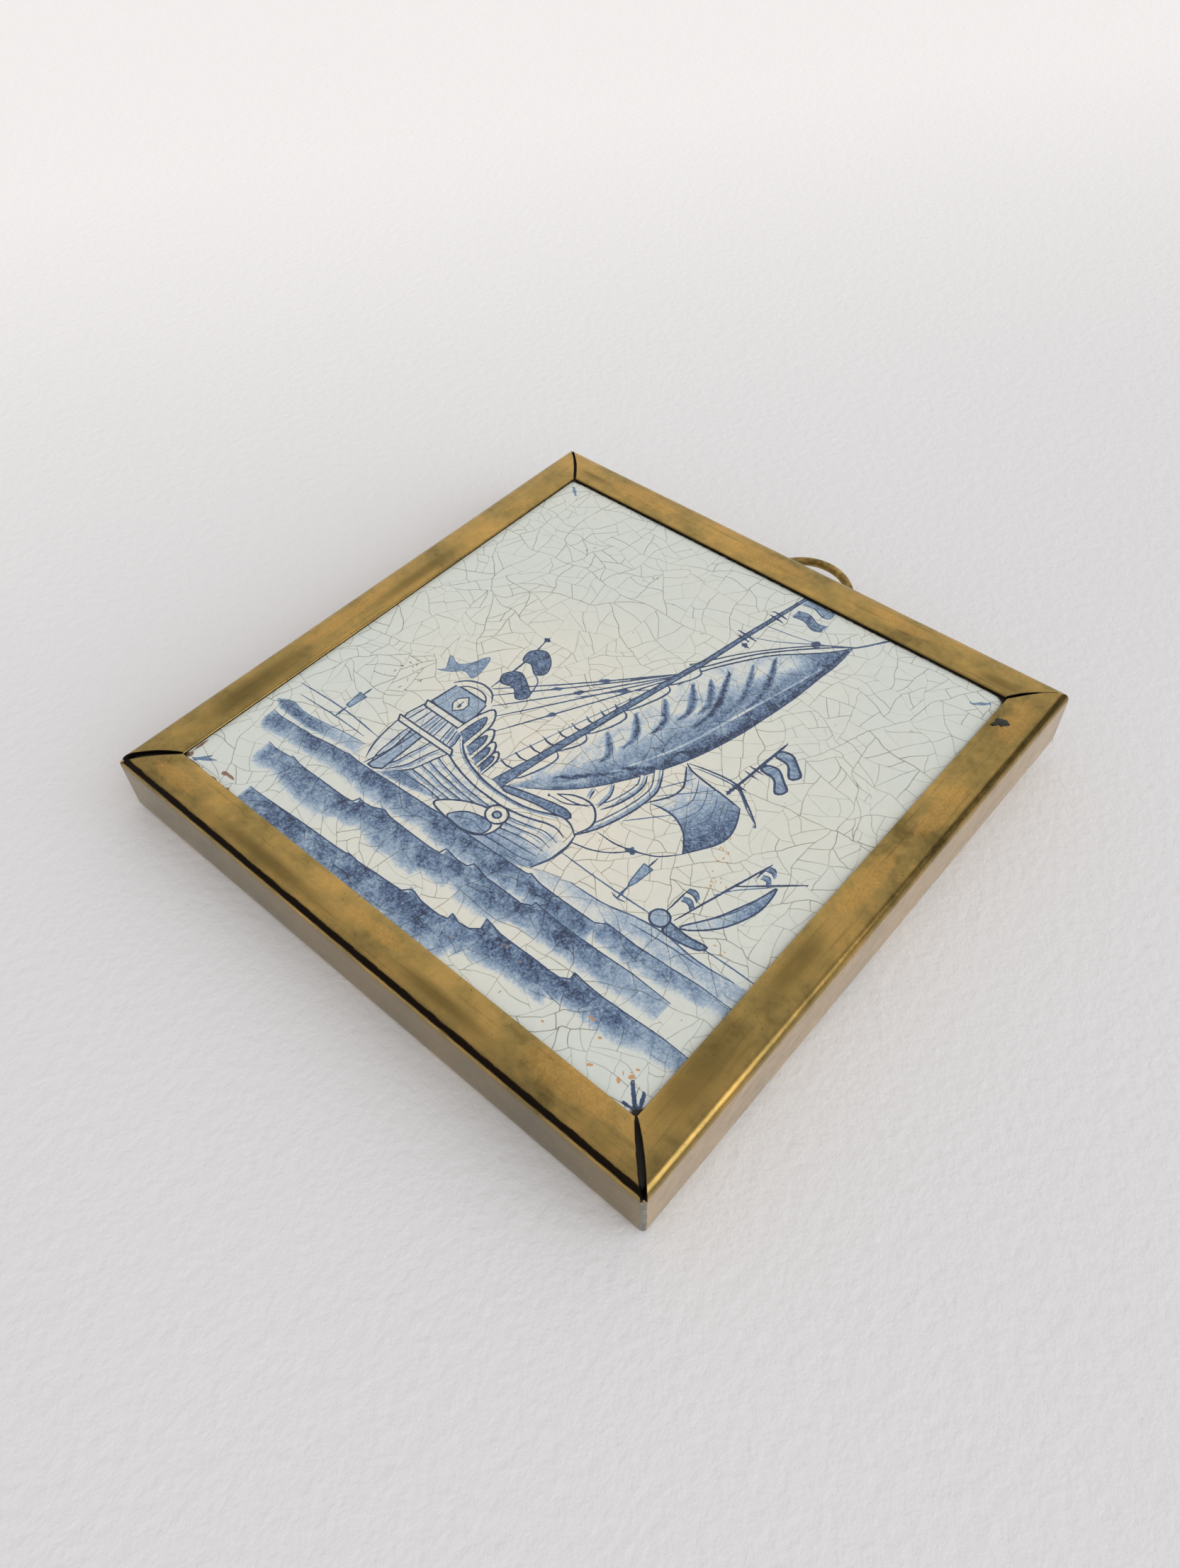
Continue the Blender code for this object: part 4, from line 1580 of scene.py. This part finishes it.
def is_cut(corner, d, depth):
    """Whether the mitre at this corner parts the row."""
    shallow = min(depth, DEPTH - depth)
    if MITRES[corner]["open"] or depth > DEPTH / 2:
        return shallow < NOTCH_DEPTH
    return shallow < SHALLOW_DEPTH and d > FOLD_RADIUS + 0.1


def mitre_offset(corner, d, after):
    """How far short of the corner's diagonal a cut row ends, on the side after the corner or before it."""
    mitre = MITRES[corner]
    share = min(1.0, d / FRONT_FLANGE)
    width = mitre["tip"] + (mitre["lip"] - mitre["tip"]) * share + mitre["belly"] * math.sin(math.pi * share)
    if not mitre["open"]:
        width = mitre["lip"] * soft_step(share, 0.35, 0.8)
    bow = mitre["bow"] * math.sin(math.pi * share) * (1 if after else -1)
    return width / math.sqrt(2) + bow


def row_end(corner, d, depth, after):
    """How far from the side's middle a row ends at this corner."""
    if is_cut(corner, d, depth):
        return HALF - d - mitre_offset(corner, d, after)
    return HALF - d - corner_radius(d)


def patch_mask(u, v, patches):
    return max(math.exp(-((u - a) / c) ** 2 - ((v - b) / d) ** 2) for a, b, c, d in patches)


def column_places(start, end):
    """Places along a row from one end to the other, closer together near the ends."""
    near = [start + e for e in END_STEPS]
    far = [end - e for e in reversed(END_STEPS)]
    middle = np.linspace(near[-1], far[0], SIDE_COLUMNS + 1)[1:-1]
    return np.concatenate([near, middle, far])


def dent(u, v, depth, flat):
    """How far the sheet stands proud: long waves on the flats and small dents on the folds."""
    here = Vector((u, v, depth))
    waves = 0.055 * noise.noise(here / 21) + 0.022 * noise.noise(here / 7 + Vector((9, 0, 0)))
    knocks = (0.018 * noise.noise(here / 3.1) + 0.010 * noise.noise(here / 1.3)) * (1 - flat ** 4)
    return waves * (0.45 + 0.55 * flat) + knocks


class FrameSheet:
    """The frame's outer surface: a grid of points on each side, joined round the corners that aren't cut."""

    def __init__(self):
        self.rows = frame_rows()
        self.places, self.faces, self.runs, self.grid = [], [], [], {}
        self.masks = {"worn": [], "dull_and_shade": [], "wall_reflection": [], "grime_and_shade": []}
        for side in range(4):
            self.add_side(side)
        for corner in range(4):
            self.add_corner(corner)

    def vertex(self, u, v, row, outward, along, grime_and_shade):
        """Adds a row's point, dented, and returns its number."""
        _, depth, way, run = row
        lift = dent(u, v, depth, abs(way[1]))
        place_u, place_v = u - outward.x * way[0] * lift, v - outward.y * way[0] * lift
        self.places.append(on_face(place_u, place_v, FRONT + depth + way[1] * lift))
        self.runs.append((along * MM, run * MM, 0.0))
        self.note_masks(u, v, row, grime_and_shade)
        return len(self.places) - 1

    def note_masks(self, u, v, row, grime_and_shade):
        """Where the sheet is worn bright, dull with olive patches and painted wall shade, painted pale as an
        outer wall's reflection, and dirty with painted shade and a painted dark reflection.
        """
        _, depth, way, run = row
        flat = abs(way[1])
        front_side = depth < DEPTH / 2
        side = int(np.argmax((-v, u, v, -u)))
        upright = 1 - soft_step(flat, 0.05, 0.5)
        worn = patch_mask(u, v, GOLD_PATCHES) if front_side else 0.0
        self.masks["worn"].append(worn + 0.15 * float(0.2 < flat < 0.9 and front_side))
        # painted reflection on the outer walls, paler on some sides than others
        self.masks["wall_reflection"].append(upright * WALL_PAINTED_REFLECTION[side])
        # olive patches, partly painted dark reflection, and painted shade on the walls
        olive = patch_mask(u, v, OLIVE_AND_REFLECTION_PATCHES) * front_side
        self.masks["dull_and_shade"].append(max(olive, upright * WALL_PAINTED_SHADE[side]))
        # painted dark reflection: a dark line along the bottom fold
        if side == 0 and front_side:
            grime_and_shade = max(grime_and_shade, 1.15 * math.exp(-abs((run - FOLD_REFLECTION_LINE) / FOLD_REFLECTION_REACH) ** 2.6))
        self.masks["grime_and_shade"].append(grime_and_shade)

    def add_side(self, side):
        before = (side - 1) % 4
        outward = Vector(turned(0, -HALF, side)).normalized()
        for r, row in enumerate(self.rows):
            d, depth, _, run = row
            line = column_places(-row_end(before, d, depth, True), row_end(side, d, depth, False))
            lip = min(run, self.rows[-1][3] - run)
            start = line[0] if is_cut(before, d, depth) else -math.inf
            end = line[-1] if is_cut(side, d, depth) else math.inf
            for c, s in enumerate(line):
                gap = min(lip, s - start, end - s, FAR)
                # painted shade comes with the dirt at the front lip, more on the shaded sides
                lip_share = LIP_GRIME_AND_SHADE[side] if gap == lip and depth < DEPTH / 2 else 1.0
                grime_and_shade = math.exp(-gap / EDGE_GRIME_REACH) * lip_share
                u, v = turned(s, -(HALF - d), side)
                self.grid[side, r, c] = self.vertex(u, v, row, outward, s + SIDE_RUN * side, grime_and_shade)
        self.last = len(line) - 1
        for r in range(len(self.rows) - 1):
            near = [self.grid[side, r, c] for c in range(self.last + 1)]
            far = [self.grid[side, r + 1, c] for c in range(self.last + 1)]
            self.join(near, far)

    def add_corner(self, corner):
        arcs = {}
        for r, row in enumerate(self.rows):
            d, depth = row[:2]
            if is_cut(corner, d, depth):
                continue
            radius = corner_radius(d)
            middle = HALF - d - radius
            arc = [self.grid[corner, r, self.last]]
            for k in range(1, CORNER_STEPS):
                angle = -math.pi / 2 + math.pi / 2 * k / CORNER_STEPS
                u, v = turned(middle + radius * math.cos(angle), -middle + radius * math.sin(angle), corner)
                outward = Vector((u, v)).normalized()
                arc.append(self.vertex(u, v, row, outward, HALF + SIDE_RUN * corner, 0.0))
            arcs[r] = arc + [self.grid[(corner + 1) % 4, r, 0]]
        for r in arcs:
            if r + 1 in arcs:
                self.join(arcs[r], arcs[r + 1])

    def join(self, near, far):
        """Faces between two rows of points."""
        for k in range(len(near) - 1):
            self.faces.append((near[k], far[k], far[k + 1], near[k + 1]))

    def mesh(self):
        mesh = mesh_of("frame_sheet", self.places, self.faces)
        runs = mesh.attributes.new("run", "FLOAT_VECTOR", "POINT")
        runs.data.foreach_set("vector", np.array(self.runs, np.float32).ravel())
        for name, values in self.masks.items():
            set_floats(mesh, name, values)
        return mesh


def make_frame(look):
    solid = thickened(FrameSheet().mesh(), SHEET, even=True)
    solid.name = "brass_frame_dressed"
    solid.set_sharp_from_angle(angle=math.radians(50))
    piece = make_piece("folded_frame", solid, look, "plaque")
    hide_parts("brass_frame")
    return piece


SOLDER_THICKNESS = 0.25
TAR_THICKNESS = 0.1
TAR_HEIGHT = 0.22
TAR_PLACE = (59.5, 50.4)


def make_seam(look):
    """Solder that joins the strip's two ends, down the picture's bottom right corner."""
    steps, columns = 26, 7
    places, faces = [], []
    for r in range(steps + 1):
        depth = NOTCH_DEPTH + 0.15 + (DEPTH - 2 * NOTCH_DEPTH - 0.4) * r / steps
        spread = 0.9 + 0.35 * noise.noise(Vector((depth / 2.2, 3.0, 0)))
        for c in range(columns + 1):
            t = 2 * c / columns - 1
            angle = -math.pi / 4 + t * spread * math.pi / 4
            proud = CORNER_RADIUS + 0.07 * (1 - t * t) - 0.04 * t * t
            u = HALF - CORNER_RADIUS + proud * math.cos(angle)
            v = -HALF + CORNER_RADIUS + proud * math.sin(angle)
            places.append(on_face(u, v, FRONT + depth))
    for r in range(steps):
        for c in range(columns):
            a = r * (columns + 1) + c
            faces.append((a, a + columns + 1, a + columns + 2, a + 1))
    sheet = mesh_of("solder_seam", places, faces)
    return make_piece("solder_seam", thickened(sheet, SOLDER_THICKNESS), look, "plaque")


def make_tar_spot(look):
    """A hard black drop on the right side of the frame, with a short run."""
    rings, around = 5, 26
    places, faces = [on_face(*TAR_PLACE, FRONT - TAR_HEIGHT)], []
    for r in range(1, rings + 1):
        share = r / rings
        y = FRONT - TAR_HEIGHT * math.sqrt(1 - share ** 2 * 0.98) + 0.04 * share
        for k in range(around):
            angle = 2 * math.pi * k / around
            reach = 1.2 + 0.9 * noise.noise(Vector((math.cos(angle) * 1.7, math.sin(angle) * 1.7, 4)))
            reach += 0.9 * max(0, math.cos(angle + 2.0)) ** 14 + 0.8 * max(0, math.cos(angle - 0.5)) ** 10
            u = TAR_PLACE[0] + reach * share * math.cos(angle)
            v = TAR_PLACE[1] + reach * share * math.sin(angle)
            places.append(on_face(u, v, y))
    for k in range(around):
        j = (k + 1) % around
        faces.append((0, 1 + k, 1 + j))
        for r in range(rings - 1):
            a, b = 1 + r * around, 1 + (r + 1) * around
            faces.append((a + k, b + k, b + j, a + j))
    sheet = mesh_of("tar_spot", places, faces)
    return make_piece("tar_spot", thickened(sheet, TAR_THICKNESS), look, "plaque")


# The ring and its strap

WIRE_RADIUS = 1.0
RING_STEPS = 120
WIRE_STEPS = 20


def make_ring(look):
    centre = (RING_LOW + RING_HIGH) / 2 / MM
    up = centre - PIVOT / MM
    radius = up.length
    up.normalize()
    side = Vector((1, 0, 0))
    normal = side.cross(up)
    places, faces = [], []
    for i in range(RING_STEPS):
        a = 2 * math.pi * i / RING_STEPS
        out = side * math.sin(a) - up * math.cos(a)
        bend = 0.10 * math.sin(2 * a + 0.6) * (1 - math.cos(a)) / 2
        wire = WIRE_RADIUS * (1 + 0.02 * noise.noise(Vector((math.cos(a) * 3, math.sin(a) * 3, 0))))
        middle = centre + out * (radius + bend * 0.6)
        for k in range(WIRE_STEPS):
            b = 2 * math.pi * k / WIRE_STEPS
            places.append(middle + (out * math.cos(b) + normal * math.sin(b)) * wire)
    for i in range(RING_STEPS):
        for k in range(WIRE_STEPS):
            a, b = i * WIRE_STEPS, (i + 1) % RING_STEPS * WIRE_STEPS
            j = (k + 1) % WIRE_STEPS
            faces.append((a + k, a + j, b + j, b + k))
    piece = make_piece("wire_ring", mesh_of("ring_wire", places, faces), look, "ring")
    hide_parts("hanging_ring")
    return piece


STRAP_SHEET = 0.6
STRAP_GAP = 0.3          # the strap's feet stand this far off the frame's back
WIRE_CLEARANCE = 0.55
STRAP_STEPS = 24


def make_strap(look):
    """A strip bent over the wire, with round edges."""
    breadth = (STRAP_HIGH.x - STRAP_LOW.x) / MM
    standoff = PIVOT.y / MM - BACK
    inner = WIRE_RADIUS + WIRE_CLEARANCE
    outer = inner + STRAP_SHEET
    foot = (STRAP_HIGH.z - STRAP_LOW.z) / 2 / MM
    high = STRAP_GAP + STRAP_SHEET
    line = [(foot, high), ((foot + outer) / 2, high), (outer + 0.1, high), (outer, high + 0.15)]
    for a in np.linspace(0, math.pi, STRAP_STEPS):
        line.append((outer * math.cos(a), standoff + outer * math.sin(a)))
    line += [(-z, y) for z, y in reversed(line[:4])]
    places, faces = [], []
    columns = 8
    middle = (STRAP_LOW.x + STRAP_HIGH.x) / 2 / MM
    for z, y in line:
        for c in range(columns + 1):
            t = 2 * c / columns - 1
            height = PIVOT.z / MM + z * (1 - 0.01 * t ** 6)
            places.append((middle + t * breadth / 2, BACK + y - 0.10 * t ** 6, height))
    for r in range(len(line) - 1):
        for c in range(columns):
            a = r * (columns + 1) + c
            faces.append((a, a + 1, a + columns + 2, a + columns + 1))
    mesh = mesh_of("strap_sheet", places, faces)
    bm = bmesh.new()
    bm.from_mesh(mesh)
    if sum((f.normal.y for f in bm.faces)) < 0:
        bmesh.ops.reverse_faces(bm, faces=bm.faces)
    bm.to_mesh(mesh)
    bm.free()
    piece = make_piece("bent_strap", thickened(mesh, STRAP_SHEET, even=True), look, "plaque")
    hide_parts("ring_strap")
    return piece


# Stage, light and camera

TABLE_SIZE = 4.0
TABLE_GAP = 0.00005               # behind what it touches
TABLE_LIGHT_WAY = (-0.85, 0.0, 0.5)    # the way that painted light makes the surface lighter
WINDOW = (0.86, -0.50, 0.04)      # the way to the middle of the soft window light
ROOM_COLOUR = (0.48, 0.47, 0.46)
ROOM_SPOTS = (                    # in reflections: way, strength, angles where it begins and is full, colour
    ((-0.50, -0.42, 0.72), 1.0, 60, 15, (0.93, 0.90, 0.85)),
    ((0.3, 0.9, 0.1), 1.0, 75, 30, (0.8, 0.8, 0.8)),
    ((-0.42, -0.42, -0.80), 0.85, 34, 12, (0.02, 0.017, 0.015)),
    ((0.5, -0.48, 0.72), 0.9, 30, 12, (0.05, 0.04, 0.03)),
    ((0.74, -0.66, 0.16), 1.0, 27, 6, (2.8, 2.7, 2.45)),
)
BACK_LIGHT = (-0.5, 0.8, 0.4)     # the way to the weak light behind
BACK_STRENGTH = 2.3


def table_material():
    """Pale paper-like surface, painted lighter towards one side as painted light. It shows from its front
    alone, and lets light through to the object's back.
    """
    made, graph = material("pale_table_look")
    place = graph.place()
    fibres = graph.noise(place, 2.2, 5, 0.6)
    broad = graph.noise(place, 90, 3, 0.5)
    upward = graph.vector("DOT_PRODUCT", place, TABLE_LIGHT_WAY)
    # painted light: the surface is made lighter towards one side
    painted_light_slope = graph.remap(upward, -0.05, 0.35, smooth=True)
    tone = graph.plus(painted_light_slope, graph.times(broad, 0.08))
    colour = graph.mix(tone, srgb(220, 219, 220), srgb(246, 244, 243))
    shader = graph.add("ShaderNodeBsdfDiffuse", Color=colour, Normal=bump(graph, fibres, 0.25))
    clear = graph.add("ShaderNodeBsdfTransparent")
    behind = graph.add("ShaderNodeNewGeometry").outputs["Backfacing"]
    shadow = graph.add("ShaderNodeLightPath").outputs["Is Shadow Ray"]
    choice = graph.add("ShaderNodeMixShader")
    graph.feed(choice.inputs[0], graph.larger(behind, shadow))
    graph.feed(choice.inputs[1], shader.outputs[0])
    graph.feed(choice.inputs[2], clear.outputs[0])
    output = graph.add("ShaderNodeOutputMaterial")
    graph.feed(output.inputs["Surface"], choice.outputs[0])
    return made


def make_table():
    """The surface that the tile's back lies on: it touches the strap and the frame's lower back edge."""
    touch_high = Vector((0, STRAP_HIGH.y, PIVOT.z))
    touch_low = Vector((0, FRAME_HIGH.y, FRAME_LOW.z + FOLD_RADIUS * MM))
    along = (touch_high - touch_low).normalized()
    across = Vector((1, 0, 0))
    facing = along.cross(across)
    if facing.y > 0:
        facing = -facing
    middle = (touch_high + touch_low) / 2 - facing * TABLE_GAP
    mesh = bpy.data.meshes.new("pale_table")
    half = TABLE_SIZE / 2
    signs = ((-1, -1), (1, -1), (1, 1), (-1, 1))
    corners = [tuple(middle + across * a * half + along * b * half) for a, b in signs]
    mesh.from_pydata(corners, [], [(0, 1, 2, 3)])
    if mesh.polygons[0].normal.dot(facing) < 0:
        mesh.flip_normals()
    mesh.materials.append(table_material())
    add_object("pale_table", mesh)


def lobe(graph, direction, away, level, wide, narrow):
    """How much of a soft spot lies in this direction, from its wide angle in to its narrow one."""
    facing = graph.vector("DOT_PRODUCT", direction, Vector(away).normalized())
    low, high = math.cos(math.radians(wide)), math.cos(math.radians(narrow))
    return graph.remap(facing, low, high, 0.0, level, smooth=True)


def make_world():
    """A pale room. Its reflections have a window, and darker parts to the lower left and overhead."""
    world = bpy.data.worlds.new("room")
    bpy.context.scene.world = world
    world.use_nodes = True
    graph = Graph(world.node_tree)
    direction = graph.add("ShaderNodeTexCoord").outputs["Generated"]
    colour = ROOM_COLOUR
    for away, level, wide, narrow, spot in ROOM_SPOTS:
        colour = graph.mix(lobe(graph, direction, away, level, wide, narrow), colour, spot)
    path = graph.add("ShaderNodeLightPath")
    window = lobe(graph, direction, WINDOW, 1.0, 46, 34)
    daylight = graph.mix(window, (0.605, 0.582, 0.568), (2.29, 2.33, 2.36))
    colour = graph.mix(path.outputs["Is Glossy Ray"], daylight, colour)
    colour = graph.mix(path.outputs["Is Camera Ray"], colour, srgb(224, 225, 228))
    light = graph.add("ShaderNodeBackground", Color=colour, Strength=1.0)
    output = graph.add("ShaderNodeOutputWorld")
    graph.feed(output.inputs["Surface"], light.outputs[0])


def make_back_light():
    """A weak broad light for the back. The front has the world's light."""
    lamp = bpy.data.lights.new("back_fill", "SUN")
    lamp.angle = math.radians(80)
    lamp.energy = BACK_STRENGTH
    lamp.color = (0.97, 0.98, 1.0)
    away = Vector(BACK_LIGHT).normalized()
    holder = add_object("back_fill", lamp)
    holder.location = Vector((0, FRONT * MM, CENTRE_Z * MM)) + away
    holder.rotation_mode = "QUATERNION"
    holder.rotation_quaternion = (-away).to_track_quat("-Z", "Y")


def make_camera():
    data = bpy.data.cameras.new("photo_camera")
    data.lens = LENS
    data.sensor_width = SENSOR
    data.clip_start = 0.001
    data.clip_end = 50
    camera = add_object("photo_camera", data)
    up = RIGHT.cross(FORWARD)
    turn = Matrix((RIGHT, up, -FORWARD)).transposed()
    camera.matrix_world = Matrix.Translation(EYE) @ turn.to_4x4()
    bpy.context.scene.camera = camera


def main():
    make_camera()
    make_table()
    make_world()
    make_back_light()
    brass = brass_material()
    solder = solder_material()
    make_frame(brass)
    make_seam(solder)
    make_tar_spot(tar_material())
    make_ring(wire_material())
    make_strap(brass)
    make_tile(glaze_material())
    view = bpy.context.scene.view_settings
    view.view_transform = "Standard"
    view.look = "None"


main()
